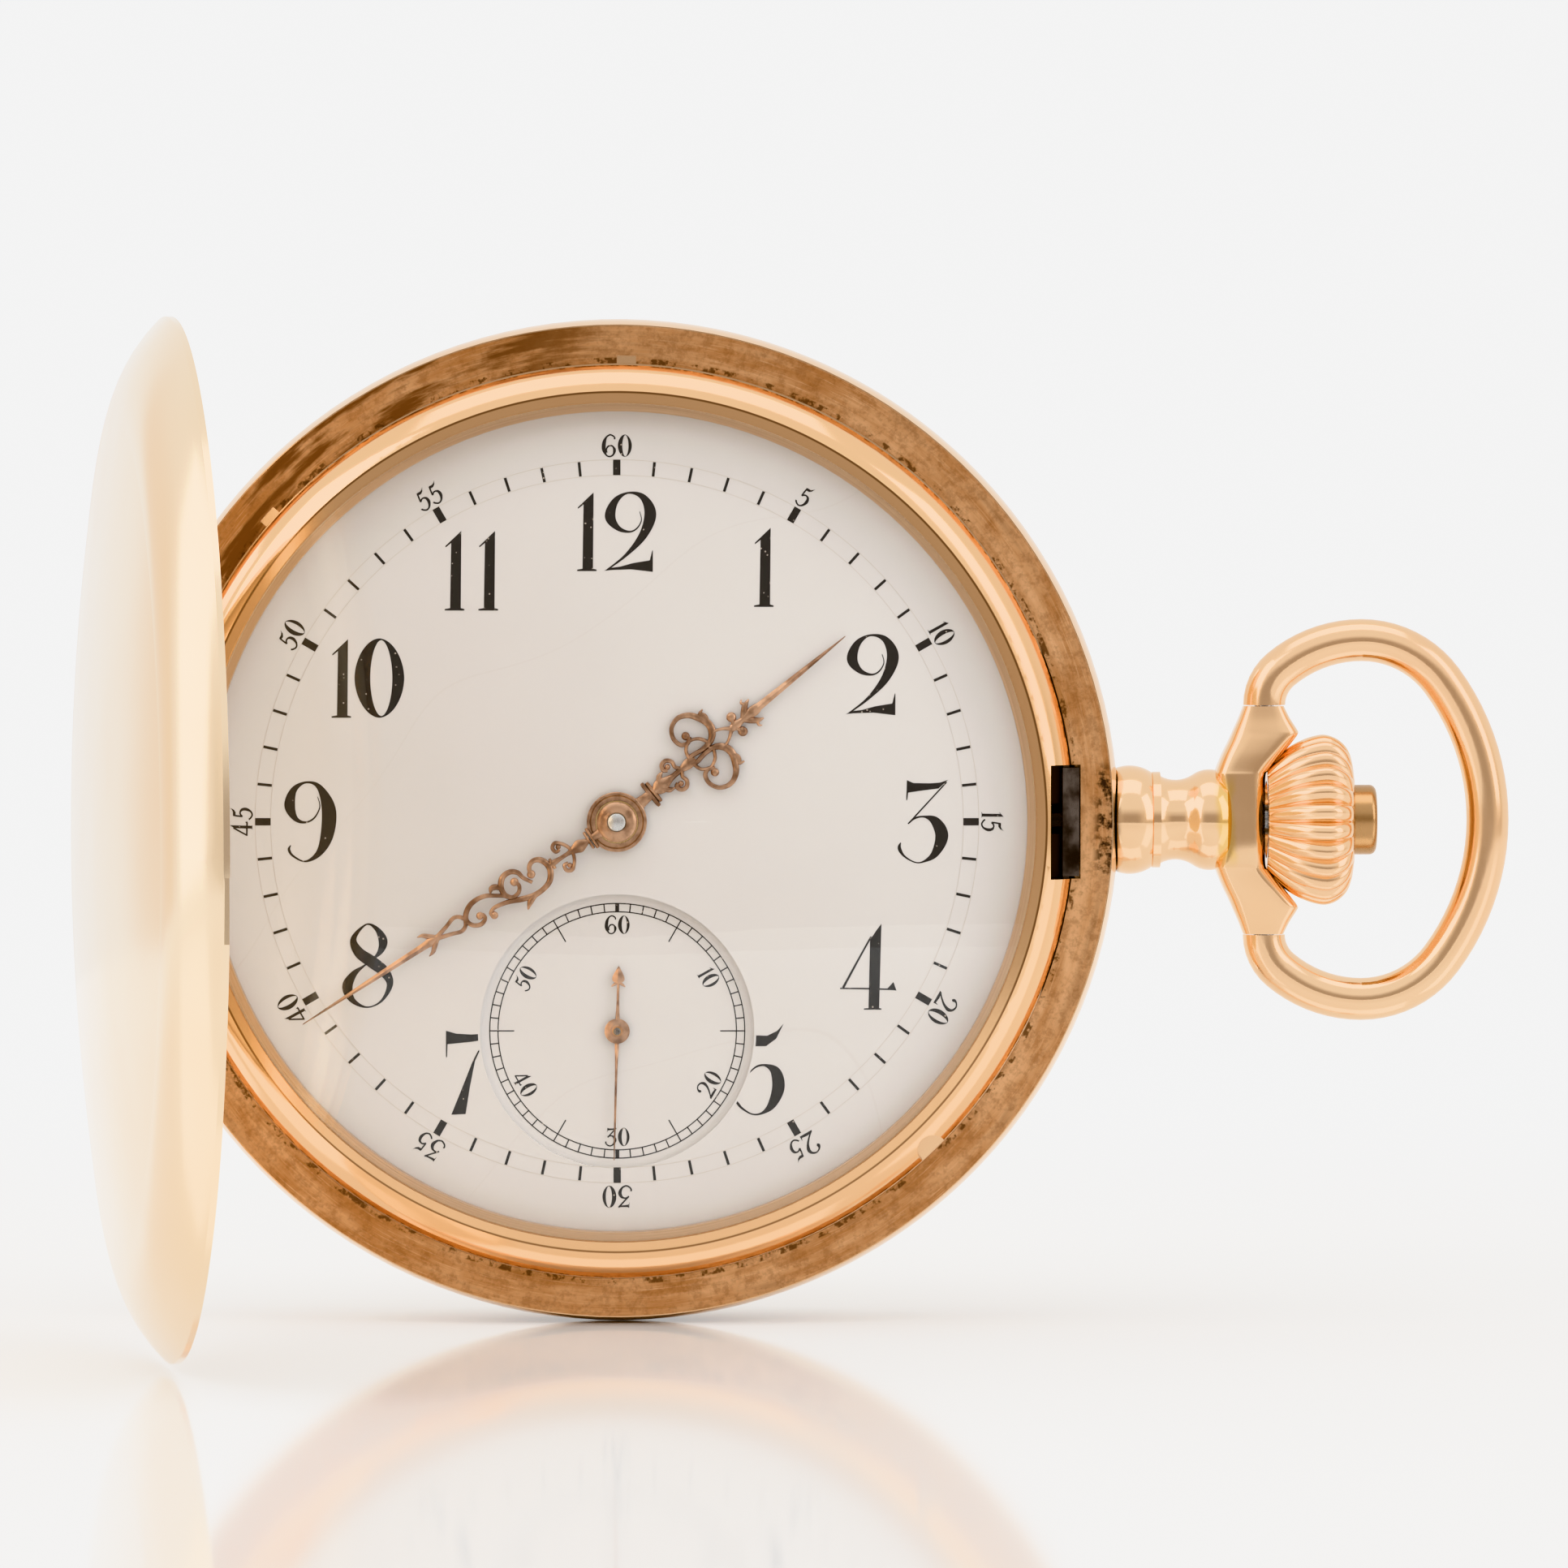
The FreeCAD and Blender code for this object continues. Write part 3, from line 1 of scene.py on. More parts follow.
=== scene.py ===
"""Hunter pocket watch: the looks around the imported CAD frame.

Lengths are in millimetres up to the point where a mesh is made, and every mesh is in metres.
The dial lies in the XZ plane and faces -Y, twelve o'clock is +Z and the crown is at +X.
"""
import math

import bmesh
import bpy
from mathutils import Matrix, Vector, geometry


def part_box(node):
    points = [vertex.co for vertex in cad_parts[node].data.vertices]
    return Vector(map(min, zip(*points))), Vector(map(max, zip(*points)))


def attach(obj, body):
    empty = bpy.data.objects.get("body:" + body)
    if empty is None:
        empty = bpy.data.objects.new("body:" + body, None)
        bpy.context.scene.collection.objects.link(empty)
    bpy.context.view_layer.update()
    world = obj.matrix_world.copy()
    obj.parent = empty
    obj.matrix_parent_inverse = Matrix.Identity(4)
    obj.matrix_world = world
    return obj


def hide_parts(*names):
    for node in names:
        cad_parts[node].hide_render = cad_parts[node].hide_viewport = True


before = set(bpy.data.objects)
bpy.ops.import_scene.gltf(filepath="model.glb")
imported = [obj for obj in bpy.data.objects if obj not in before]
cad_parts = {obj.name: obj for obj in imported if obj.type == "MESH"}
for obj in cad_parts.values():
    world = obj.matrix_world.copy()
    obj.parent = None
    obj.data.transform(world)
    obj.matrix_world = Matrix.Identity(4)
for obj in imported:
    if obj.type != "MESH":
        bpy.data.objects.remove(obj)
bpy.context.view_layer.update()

MM = 0.001
FULL_TURN = 2 * math.pi

# Heights above the back of the case, along -Y, read from the frame
DIAL_FRONT = -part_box("dial")[0].y / MM
SECONDS_FRONT = -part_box("seconds_dial")[0].y / MM
HOUR_HAND_BACK = -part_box("hour_hand")[1].y / MM
MINUTE_HAND_BACK = -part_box("minute_hand")[1].y / MM
SECONDS_HAND_BACK = -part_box("seconds_hand")[1].y / MM
CASE_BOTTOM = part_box("case_middle")[0].z / MM
SECONDS_DOWN = (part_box("seconds_dial")[0].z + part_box("seconds_dial")[1].z) / 2 / MM

# Measures of the case in mm: ranges of radius, and heights
FLANGE = (23.3, 25.64)
FLANGE_HEIGHT = 10.1
BEZEL_CORNER = (23.6, 23.98)
BEZEL_LIP = (21.0, 21.62)
BEZEL_GROOVE = (22.14, 22.24)
CATCH_SLOT = (22.3, 24.0)
SLOT_FLOOR = 5.4

# Radii of the printed tracks in mm
MINUTE_TRACK = (17.9, 18.7)
MINUTE_FIGURES = 19.42
SECONDS_TRACK = (6.17, 6.6)
SECONDS_FIGURES = 5.5

HOUR_HAND_ANGLE = 50.9
MINUTE_HAND_ANGLE = 237.2
SECONDS_HAND_ANGLE = 181.4
PRINT_THICKNESS = 0.012
WIRE_SWELL = 1.18


# ---- materials


class Nodes:
    """A short way to write a node tree."""

    def __init__(self, tree):
        self.tree = tree

    def add(self, kind, inputs=(), **settings):
        node = self.tree.nodes.new("ShaderNode" + kind)
        for name, value in settings.items():
            setattr(node, name, value)
        for name, value in dict(inputs).items():
            if isinstance(value, bpy.types.NodeSocket):
                self.tree.links.new(value, node.inputs[name])
            else:
                node.inputs[name].default_value = value
        return node

    def math(self, operation, first, second=0.0, clamp=False):
        node = self.add("Math", {0: first, 1: second}, operation=operation)
        node.use_clamp = clamp
        return node.outputs[0]

    def times(self, first, second):
        return self.math("MULTIPLY", first, second)

    def step(self, value, low, high):
        """0 below low and 1 above high, smooth between."""
        node = self.add(
            "MapRange",
            {"Value": value, "From Min": low, "From Max": high},
            interpolation_type="SMOOTHSTEP",
        )
        return node.outputs["Result"]

    def fall(self, value, low, high):
        """1 below low and 0 above high, smooth between."""
        return self.math("SUBTRACT", 1.0, self.step(value, low, high))

    def span(self, value, low, high):
        """The value 0..1 stretched to low..high."""
        node = self.add("MapRange", {"Value": value, "To Min": low, "To Max": high})
        return node.outputs["Result"]

    def between(self, value, low, high, soft):
        """1 between low and high, falling to 0 over soft on each side."""
        rise = self.step(value, low - soft, low + soft)
        fall = self.step(value, high - soft, high + soft)
        return self.math("SUBTRACT", rise, fall, clamp=True)

    def blend(self, share, first, second):
        """The value between first and second."""
        return self.add("Mix", {0: share, 2: first, 3: second}).outputs[0]

    def mix(self, share, first, second):
        """The colour between first and second."""
        node = self.add("Mix", data_type="RGBA")
        for socket, value in ((0, share), (6, first), (7, second)):
            if isinstance(value, bpy.types.NodeSocket):
                self.tree.links.new(value, node.inputs[socket])
            else:
                node.inputs[socket].default_value = value
        return node.outputs[2]

    def noise(self, vector, scale, detail=2.0, roughness=0.5):
        inputs = {"Vector": vector, "Scale": scale, "Detail": detail, "Roughness": roughness}
        return self.add("TexNoise", inputs).outputs["Fac"]

    def stretched(self, vector, x, y, z):
        inputs = {"Vector": vector, "Scale": (x, y, z)}
        return self.add("Mapping", inputs).outputs["Vector"]

    def where(self):
        """Object coordinates."""
        return self.add("TexCoord").outputs["Object"]

    def place(self):
        """Object coordinates, the same split up, and the distance from the dial's axis in mm."""
        where = self.where()
        x, y, z = self.add("SeparateXYZ", {0: where}).outputs
        flat = self.add("CombineXYZ", {"X": x, "Z": z})
        length = self.add("VectorMath", {0: flat.outputs[0]}, operation="LENGTH")
        return where, (x, y, z), self.times(length.outputs["Value"], 1 / MM)

    def around(self, x, z, radius, along, across):
        """A vector for grain that runs round the dial's axis, its seam at the hinge."""
        angle = self.math("ARCTAN2", z, x)
        inputs = {"X": self.times(angle, along), "Y": self.times(radius, across)}
        return self.add("CombineXYZ", inputs).outputs[0]

    def surface(self, shader):
        """Ends the material with this shader instead of its first one."""
        output = next(n for n in self.tree.nodes if n.type == "OUTPUT_MATERIAL")
        self.tree.links.new(shader.outputs[0], output.inputs["Surface"])

    def bump(self, height, strength, distance):
        inputs = {"Height": height, "Strength": strength, "Distance": distance}
        return self.add("Bump", inputs).outputs["Normal"]


def color(red, green, blue):
    return (red, green, blue, 1.0)


def new_material(name):
    """A material with a Principled shader, its Nodes and that shader."""
    material = bpy.data.materials.new(name)
    material.use_nodes = True
    tree = material.node_tree
    shader = next(n for n in tree.nodes if n.type == "BSDF_PRINCIPLED")
    return material, Nodes(tree), shader


def join(nodes, shader, **sockets):
    """Links or sets the shader's sockets, with _ for a space in their names."""
    for name, value in sockets.items():
        socket = shader.inputs[name.replace("_", " ")]
        if isinstance(value, bpy.types.NodeSocket):
            nodes.tree.links.new(value, socket)
        else:
            socket.default_value = value


def gold_parts(nodes, light, dark, polish, dull):
    """Colour, roughness and bump height of worn polished gold."""
    where = nodes.where()
    clouds = nodes.noise(where, 70, 3.0, 0.5)
    patches = nodes.step(clouds, 0.3, 0.85)
    hairs = nodes.noise(nodes.stretched(where, 3000, 1200, 260), 1.0, 3.0, 0.7)
    fine = nodes.noise(where, 2600, 3.0, 0.6)
    tint = nodes.mix(nodes.times(patches, 0.7), light, dark)
    rough = nodes.span(nodes.times(patches, hairs), polish, dull)
    height = nodes.math("ADD", nodes.times(hairs, 0.5), nodes.times(fine, 0.3))
    return tint, rough, height


def polished_gold(name, light, dark, polish, dull, relief=0.06, coat=0.0):
    material, nodes, shader = new_material(name)
    tint, rough, height = gold_parts(nodes, light, dark, polish, dull)
    normal = nodes.bump(height, relief, 0.02 * MM)
    join(nodes, shader, Metallic=1.0, Base_Color=tint, Roughness=rough, Normal=normal)
    join(nodes, shader, Coat_Weight=coat, Coat_Roughness=0.12)
    return material


def case_gold():
    """Polished rim and back; the flange under the lid is bronze, scratched and tarnished."""
    material, nodes, shader = new_material("case_gold_worn")
    tint, rough, height = gold_parts(nodes, ROSE, ROSE_DEEP, 0.1, 0.26)
    where, (x, y, z), radius = nodes.place()
    height_up = nodes.times(y, -1 / MM)
    faces_out = nodes.step(height_up, FLANGE_HEIGHT, FLANGE_HEIGHT + 0.1)
    flange = nodes.times(nodes.between(radius, *FLANGE, 0.03), faces_out)
    scratches = nodes.noise(nodes.around(x, z, radius, 9.0, 11.0), 1.0, 5.0, 0.72)
    smears = nodes.noise(nodes.around(x, z, radius, 5.0, 1.3), 1.0, 4.0, 0.6)
    clouds = nodes.noise(where, 170, 4.0, 0.62)
    soft = nodes.times(nodes.math("ADD", smears, clouds), 0.5)
    bronze = nodes.mix(nodes.step(soft, 0.36, 0.66), color(0.55, 0.26, 0.11), color(0.88, 0.52, 0.28))
    bronze = nodes.mix(nodes.step(scratches, 0.5, 0.78), bronze, color(0.88, 0.55, 0.31))
    speckle = nodes.step(nodes.noise(where, 1900, 4.0, 0.75), 0.42, 0.66)
    bronze = nodes.mix(nodes.times(speckle, 0.4), bronze, color(0.3, 0.13, 0.055))
    # tarnish along the outer edge, and darker patches at the upper left
    outer = nodes.times(nodes.step(radius, 24.75, 25.3), nodes.step(soft, 0.5, 0.62))
    upper_left = nodes.step(nodes.math("SUBTRACT", z, x), 0.018, 0.032)
    patches = nodes.times(upper_left, nodes.step(smears, 0.42, 0.6))
    dark = nodes.math("MAXIMUM", nodes.times(outer, 0.45), patches)
    bronze = nodes.mix(dark, bronze, color(0.22, 0.09, 0.035))
    # grit with painted shade in the corner at the bezel, and dirt round the pendant's root
    grit = nodes.step(nodes.noise(where, 1500, 3.0, 0.7), 0.5, 0.62)
    line = nodes.times(nodes.between(radius, *BEZEL_CORNER, 0.04), grit)
    bronze = nodes.mix(nodes.times(line, 0.8), bronze, color(0.09, 0.035, 0.015))
    beside = nodes.math("ABSOLUTE", z)
    near = nodes.step(x, 0.0245, 0.0251)
    root = nodes.math("SUBTRACT", near, nodes.step(beside, 0.0022, 0.0034), True)
    root = nodes.times(root, nodes.step(nodes.noise(where, 1300, 3.0, 0.7), 0.44, 0.6))
    bronze = nodes.mix(root, bronze, color(0.06, 0.035, 0.025))
    # painted shade: the walls of the catch's slot are black
    slot = nodes.times(nodes.between(radius, *CATCH_SLOT, 0.05), nodes.step(x, 0.0218, 0.0221))
    slot = nodes.times(slot, nodes.between(height_up, SLOT_FLOOR, FLANGE_HEIGHT + 0.1, 0.1))
    tint = nodes.mix(slot, tint, color(0.03, 0.015, 0.01))
    join(
        nodes, shader, Metallic=1.0, Base_Color=nodes.mix(flange, tint, bronze),
        Roughness=nodes.blend(flange, rough, nodes.span(scratches, 0.3, 0.5)),
        Normal=nodes.bump(nodes.blend(flange, height, scratches), 0.1, 0.02 * MM),
    )
    return material


def bezel_gold():
    """Polished, with orange painted shade at its foot, the turned rings of its inner lip, painted shade in
    its groove and grit with painted shade in its outer corner.
    """
    material, nodes, shader = new_material("bezel_gold_worn")
    tint, rough, height = gold_parts(nodes, BEZEL, ROSE_DEEP, 0.09, 0.2)
    where, (x, _, z), radius = nodes.place()
    foot = nodes.step(radius, 23.3, 23.42)
    lip = nodes.between(radius, *BEZEL_LIP, 0.05)
    turned_lines = nodes.noise(nodes.around(x, z, radius, 1.5, 16.0), 1.0, 2.0, 0.6)
    rings = nodes.mix(turned_lines, color(0.52, 0.29, 0.16), color(0.95, 0.68, 0.45))
    # painted shade: a darker orange at the foot, where the bezel meets the case
    tint = nodes.mix(foot, tint, color(0.74, 0.46, 0.26))
    tint = nodes.mix(nodes.times(lip, 0.85), tint, rings)
    # painted shade: a dark line in the groove, and grit with painted shade in the outer corner
    groove_painted_shade = nodes.times(nodes.between(radius, *BEZEL_GROOVE, 0.035), 0.75)
    grit = nodes.step(nodes.noise(where, 1700, 3.0, 0.7), 0.44, 0.6)
    dirt = nodes.math("MAXIMUM", groove_painted_shade, nodes.times(nodes.step(radius, 23.5, 23.58), grit))
    relief = nodes.math("ADD", nodes.times(height, 0.3), nodes.times(turned_lines, lip))
    join(
        nodes, shader, Metallic=1.0, Base_Color=nodes.mix(dirt, tint, color(0.16, 0.06, 0.02)),
        Roughness=nodes.blend(lip, rough, nodes.span(turned_lines, 0.2, 0.45)),
        Normal=nodes.bump(relief, 0.2, 0.02 * MM),
    )
    return material


def pendant_gold():
    """Rose gold, with a spill of yellow solder in the joint of neck and yoke, and dirt at its root."""
    material, nodes, shader = new_material("pendant_gold")
    tint, rough, height = gold_parts(nodes, ROSE, ROSE_DEEP, 0.1, 0.24)
    where, (x, _, z), _ = nodes.place()
    along = nodes.times(x, 1 / MM)
    up = nodes.math("ABSOLUTE", nodes.times(z, 1 / MM))
    ragged = nodes.math("ADD", along, nodes.span(nodes.noise(where, 420, 3.0), -0.4, 0.4))
    near_axis = nodes.fall(up, 1.5, 2.7)
    solder = nodes.times(nodes.between(ragged, 31.15, 32.0, 0.2), near_axis)
    root = nodes.fall(ragged, 25.75, 26.15)
    tint = nodes.mix(nodes.times(solder, 0.6), tint, color(0.95, 0.62, 0.16))
    tint = nodes.mix(nodes.times(root, 0.9), tint, color(0.05, 0.025, 0.015))
    normal = nodes.bump(height, 0.06, 0.02 * MM)
    join(nodes, shader, Metallic=1.0, Base_Color=tint, Roughness=rough, Normal=normal)
    return material


def hand_gold():
    """Copper-rose gold, darker where the polish has worn into the relief."""
    material, nodes, shader = new_material("hand_gold_aged")
    where = nodes.where()
    grain = nodes.noise(where, 3500, 4.0, 0.7)
    age = nodes.step(nodes.noise(where, 900, 3.0, 0.6), 0.4, 0.65)
    tint = nodes.mix(age, color(0.62, 0.375, 0.24), color(0.27, 0.145, 0.085))
    join(
        nodes, shader, Metallic=1.0, Base_Color=tint, Roughness=nodes.span(grain, 0.22, 0.5),
        Normal=nodes.bump(grain, 0.3, 0.015 * MM),
    )
    return material


def enamel():
    """Fired white enamel: warm, glossy, with faint clouds, pin holes and hairlines."""
    material, nodes, shader = new_material("fired_enamel")
    where = nodes.where()
    clouds = nodes.noise(where, 60, 3.0, 0.55)
    tint = nodes.mix(clouds, color(0.75, 0.72, 0.7), color(0.81, 0.785, 0.77))
    cells = nodes.add("TexVoronoi", {"Vector": where, "Scale": 420, "Randomness": 1.0})
    chosen = nodes.step(nodes.noise(where, 260, 1.0), 0.62, 0.64)
    pits = nodes.times(nodes.math("LESS_THAN", cells.outputs["Distance"], 0.028), chosen)
    waves = nodes.noise(nodes.stretched(where, 45, 45, 45), 1.0, 2.0, 0.5)
    hair = nodes.between(nodes.noise(where, 38, 1.0, 0.4), 0.4985, 0.5, 0.0006)
    tint = nodes.mix(nodes.times(hair, 0.07), tint, color(0.5, 0.4, 0.32))
    join(
        nodes, shader, Base_Color=nodes.mix(pits, tint, color(0.16, 0.11, 0.08)),
        Roughness=nodes.span(clouds, 0.1, 0.17), Normal=nodes.bump(waves, 0.15, 0.2 * MM),
        Coat_Weight=0.3, Coat_Roughness=0.04,
    )
    return material


def dial_black():
    """Fired black, with the pale specks where the enamel shows through."""
    material, nodes, shader = new_material("fired_black")
    where = nodes.where()
    cells = nodes.add("TexVoronoi", {"Vector": where, "Scale": 3600, "Randomness": 1.0})
    chosen = nodes.step(nodes.noise(where, 1500, 2.0), 0.5, 0.56)
    specks = nodes.times(nodes.math("LESS_THAN", cells.outputs["Distance"], 0.16), chosen)
    tint = nodes.mix(specks, color(0.012, 0.01, 0.009), color(0.45, 0.38, 0.32))
    join(nodes, shader, Base_Color=tint, Roughness=nodes.span(specks, 0.32, 0.5))
    return material


def track_gray():
    """The hairline circles of the minute track, fired very thin."""
    material, nodes, shader = new_material("fired_gray")
    where = nodes.where()
    tint = nodes.mix(nodes.noise(where, 700, 3.0), color(0.6, 0.54, 0.49), color(0.7, 0.65, 0.6))
    join(nodes, shader, Base_Color=tint, Roughness=0.3)
    return material


def clear_crystal():
    """Polished crystal: clear to direct light, with faint wipe marks in its gloss."""
    material, nodes, shader = new_material("clear_crystal")
    where = nodes.where()
    wipes = nodes.noise(nodes.stretched(where, 300, 300, 40), 1.0, 3.0, 0.6)
    join(
        nodes, shader, Base_Color=color(0.985, 0.99, 0.985),
        Roughness=nodes.span(nodes.step(wipes, 0.5, 0.8), 0.0, 0.02), IOR=1.45,
        Transmission_Weight=1.0,
    )
    path = nodes.add("LightPath")
    through = nodes.add("BsdfTransparent")
    indirect = nodes.math("MAXIMUM", path.outputs["Is Shadow Ray"], path.outputs["Is Diffuse Ray"])
    nodes.surface(nodes.add("MixShader", {0: indirect, 1: shader.outputs[0], 2: through.outputs[0]}))
    return material


def ground_metal(name, light, dark, polish, dull, lines=(6000, 900, 900)):
    """Fine ground metal with straight grain and a little colour variation."""
    material, nodes, shader = new_material(name)
    where = nodes.where()
    grain = nodes.noise(nodes.stretched(where, *lines), 1.0, 3.0, 0.7)
    spots = nodes.step(nodes.noise(where, 420, 4.0, 0.6), 0.45, 0.7)
    join(
        nodes, shader, Metallic=1.0, Base_Color=nodes.mix(spots, light, dark),
        Roughness=nodes.span(grain, polish, dull), Normal=nodes.bump(grain, 0.15, 0.01 * MM),
    )
    return material


def stem_steel():
    """Ground steel, with painted shade darkening it where it runs under the catch."""
    material, nodes, shader = new_material("stem_steel")
    where, (x, _, _), _ = nodes.place()
    grain = nodes.noise(nodes.stretched(where, 900, 6000, 6000), 1.0, 3.0, 0.7)
    # painted shade: near black inside the case, where the stem runs under the catch
    under_catch_shade = nodes.between(x, 0.0219, 0.026, 0.0004)
    join(
        nodes, shader, Metallic=1.0,
        Base_Color=nodes.mix(under_catch_shade, color(0.7, 0.7, 0.7), color(0.02, 0.015, 0.012)),
        Roughness=nodes.span(grain, 0.16, 0.4),
    )
    return material


def gilt_plate():
    """Frosted gilding with the broad stripes of a finished bridge."""
    material, nodes, shader = new_material("striped_gilding")
    where, (x, _, z), _ = nodes.place()
    slant = nodes.math("ADD", x, nodes.times(z, 0.6))
    stripe = nodes.math("SINE", nodes.times(slant, FULL_TURN / (2.4 * MM)))
    frost = nodes.noise(where, 9000, 2.0, 0.6)
    tint = nodes.mix(nodes.step(stripe, -0.6, 0.6), color(0.86, 0.58, 0.27), color(0.95, 0.71, 0.38))
    join(
        nodes, shader, Metallic=1.0, Base_Color=tint,
        Roughness=nodes.span(nodes.step(stripe, -1.0, 1.0), 0.24, 0.42),
        Normal=nodes.bump(frost, 0.35, 0.012 * MM),
    )
    return material


def ruby():
    """Red jewel."""
    material, nodes, shader = new_material("ruby_jewel")
    where = nodes.where()
    depth = nodes.noise(where, 1800, 2.0)
    join(
        nodes, shader, Base_Color=nodes.mix(depth, color(0.5, 0.01, 0.03), color(0.85, 0.05, 0.11)),
        Roughness=nodes.span(depth, 0.03, 0.08), IOR=1.76, Transmission_Weight=0.35,
        Coat_Weight=0.5,
    )
    return material


def white_table():
    """Glossy white acrylic that fades into the bright surroundings away from the watch."""
    material, nodes, shader = new_material("white_acrylic")
    where = nodes.where()
    ahead = {0: where, 1: (0.0, -0.05, 0.0)}
    distance = nodes.add("VectorMath", ahead, operation="DISTANCE").outputs["Value"]
    cloud = nodes.noise(where, 9.0, 2.0)
    join(
        nodes, shader, Base_Color=nodes.mix(cloud, color(0.9, 0.895, 0.89), color(0.91, 0.905, 0.9)),
        Roughness=nodes.span(cloud, 0.95, 1.0), Specular_IOR_Level=0.0,
    )
    gloss = nodes.add("BsdfGlossy", {"Color": color(0.9, 0.9, 0.9), "Roughness": 0.07})
    lit = nodes.add("MixShader", {0: MIRROR_SHARE, 1: shader.outputs[0], 2: gloss.outputs[0]})
    glow = nodes.add("Emission", {"Color": BACKGROUND, "Strength": 1.0})
    fade = nodes.step(distance, 0.09, 0.24)
    nodes.surface(nodes.add("MixShader", {0: fade, 1: lit.outputs[0], 2: glow.outputs[0]}))
    return material


ROSE = color(0.97, 0.68, 0.43)
ROSE_DEEP = color(0.9, 0.55, 0.3)
BEZEL = color(0.97, 0.63, 0.36)
PALE = color(0.98, 0.79, 0.57)
BACKGROUND = color(1.15, 1.15, 1.15)
MIRROR_SHARE = 0.46

MATERIALS = {
    "case_gold": case_gold(),
    "cover_gold": polished_gold("cover_gold_worn", PALE, color(0.96, 0.72, 0.46), 0.14, 0.24, 0.03, 0.6),
    "bezel_gold": bezel_gold(),
    "bow_gold": polished_gold("bow_gold_worn", ROSE, color(0.94, 0.6, 0.36), 0.1, 0.26),
    "spring_steel": ground_metal(
        "black_spring_steel", color(0.2, 0.17, 0.15), color(0.03, 0.022, 0.018), 0.16, 0.42),
    "steel": ground_metal("ground_steel", color(0.72, 0.72, 0.72), color(0.55, 0.53, 0.52), 0.16, 0.4),
    "blued_steel": ground_metal("blued_steel", color(0.07, 0.13, 0.42), color(0.05, 0.05, 0.22), 0.1, 0.26),
    "enamel": enamel(),
    "crystal_glass": clear_crystal(),
    "hand_gold": hand_gold(),
    "plate_gilt": gilt_plate(),
    "wheel_brass": ground_metal(
        "wheel_brass", color(0.94, 0.72, 0.36), color(0.84, 0.56, 0.22), 0.14, 0.34, (900, 900, 5000)),
    "ruby": ruby(),
    "pendant": pendant_gold(),
    "button": polished_gold("button_gold_worn", color(0.58, 0.36, 0.18), color(0.46, 0.26, 0.12), 0.2, 0.35),
    "stem": stem_steel(),
    "dial_black": dial_black(),
    "track_gray": track_gray(),
}

OWN_LOOKS = {
    "pendant_neck": "pendant", "winding_stem": "stem", "back_cover": "cover_gold", "crown_button": "button",
}


def dress_cad_nodes():
    """Every CAD node takes the material of its slot, apart from those with a look of their own."""
    for name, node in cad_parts.items():
        slot = node.data.materials[0].name.split(".")[0]
        for index in range(len(node.data.materials)):
            node.data.materials[index] = MATERIALS[OWN_LOOKS.get(name, slot)]


# ---- mesh tools


class Mesh:
    """Vertices in mm and faces, to which shapes are added."""

    def __init__(self):
        self.points = []
        self.faces = []

    def add(self, points, faces):
        first = len(self.points)
        self.points.extend(points)
        self.faces.extend(tuple(first + i for i in face) for face in faces)

    def loft(self, rings, closed_path=False):
        """Joins closed rings of equal length, each with its points in the same order."""
        size = len(rings[0])
        points = [point for ring in rings for point in ring]
        faces = []
        last = len(rings) if closed_path else len(rings) - 1
        for i in range(last):
            j = (i + 1) % len(rings)
            for k in range(size):
                n = (k + 1) % size
                faces.append((i * size + k, i * size + n, j * size + n, j * size + k))
        if not closed_path:
            faces.append(tuple(reversed(range(size))))
            faces.append(tuple(range(last * size, last * size + size)))
        self.add(points, faces)

    def piece(self, name, body, slot, material, smooth=35.0):
        """Makes the Blender object in metres, with sharp edges above smooth degrees."""
        data = bpy.data.meshes.new(name)
        data.from_pydata([Vector(p) * MM for p in self.points], [], self.faces)
        data.validate()
        data.update()
        obj = new_object(name, data)
        repair_normals(data)
        data.materials.append(MATERIALS[material])
        if smooth:
            data.shade_smooth()
            data.set_sharp_from_angle(angle=math.radians(smooth))
        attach(obj, body)
        return obj


def new_object(name, data):
    """An object in the scene."""
    obj = bpy.data.objects.new(name, data)
    bpy.context.scene.collection.objects.link(obj)
    return obj


def repair_normals(data):
    """Points every closed shell's faces outward."""
    work = bmesh.new()
    work.from_mesh(data)
    bmesh.ops.remove_doubles(work, verts=work.verts, dist=1e-7)
    bmesh.ops.recalc_face_normals(work, faces=work.faces)
    work.to_mesh(data)
    work.free()


def curve_through(points, steps=7, closed=False):
    """Catmull-Rom points through tuples of any length."""
    count = len(points)
    made = []
    for i in range(count if closed else count - 1):
        if closed:
            four = [points[(i + k) % count] for k in (-1, 0, 1, 2)]
        else:
            four = [points[max(0, min(count - 1, i + k))] for k in (-1, 0, 1, 2)]
        for s in range(steps):
            t = s / steps
            made.append(tuple(
                0.5 * (2 * b + (c - a) * t + (2 * a - 5 * b + 4 * c - d) * t * t
                       + (3 * b - 3 * c + d - a) * t ** 3)
                for a, b, c, d in zip(*four)))
    if not closed:
        made.append(tuple(points[-1]))
    return made


def sides(path, closed=False):
    """The unit normals, to the left of travel, of a flat path of (x, y, ...)."""
    count = len(path)
    normals = []
    for i in range(count):
        before = path[(i - 1) % count if closed else max(0, i - 1)]
        after = path[(i + 1) % count if closed else min(count - 1, i + 1)]
        dx = after[0] - before[0]
        dy = after[1] - before[1]
        size = math.hypot(dx, dy) or 1.0
        normals.append((-dy / size, dx / size))
    return normals


def pen(points, closed=False):
    """The outline quads of a pen stroke through (x, y, half width)."""
    path = curve_through(points, closed=closed)
    normals = sides(path, closed)
    left = [(x + nx * w, y + ny * w) for (x, y, w), (nx, ny) in zip(path, normals)]
    right = [(x - nx * w, y - ny * w) for (x, y, w), (nx, ny) in zip(path, normals)]
    last = len(path) if closed else len(path) - 1
    quads = []
    for i in range(last):
        j = (i + 1) % len(path)
        quads.append([left[i], right[i], right[j], left[j]])
    return quads


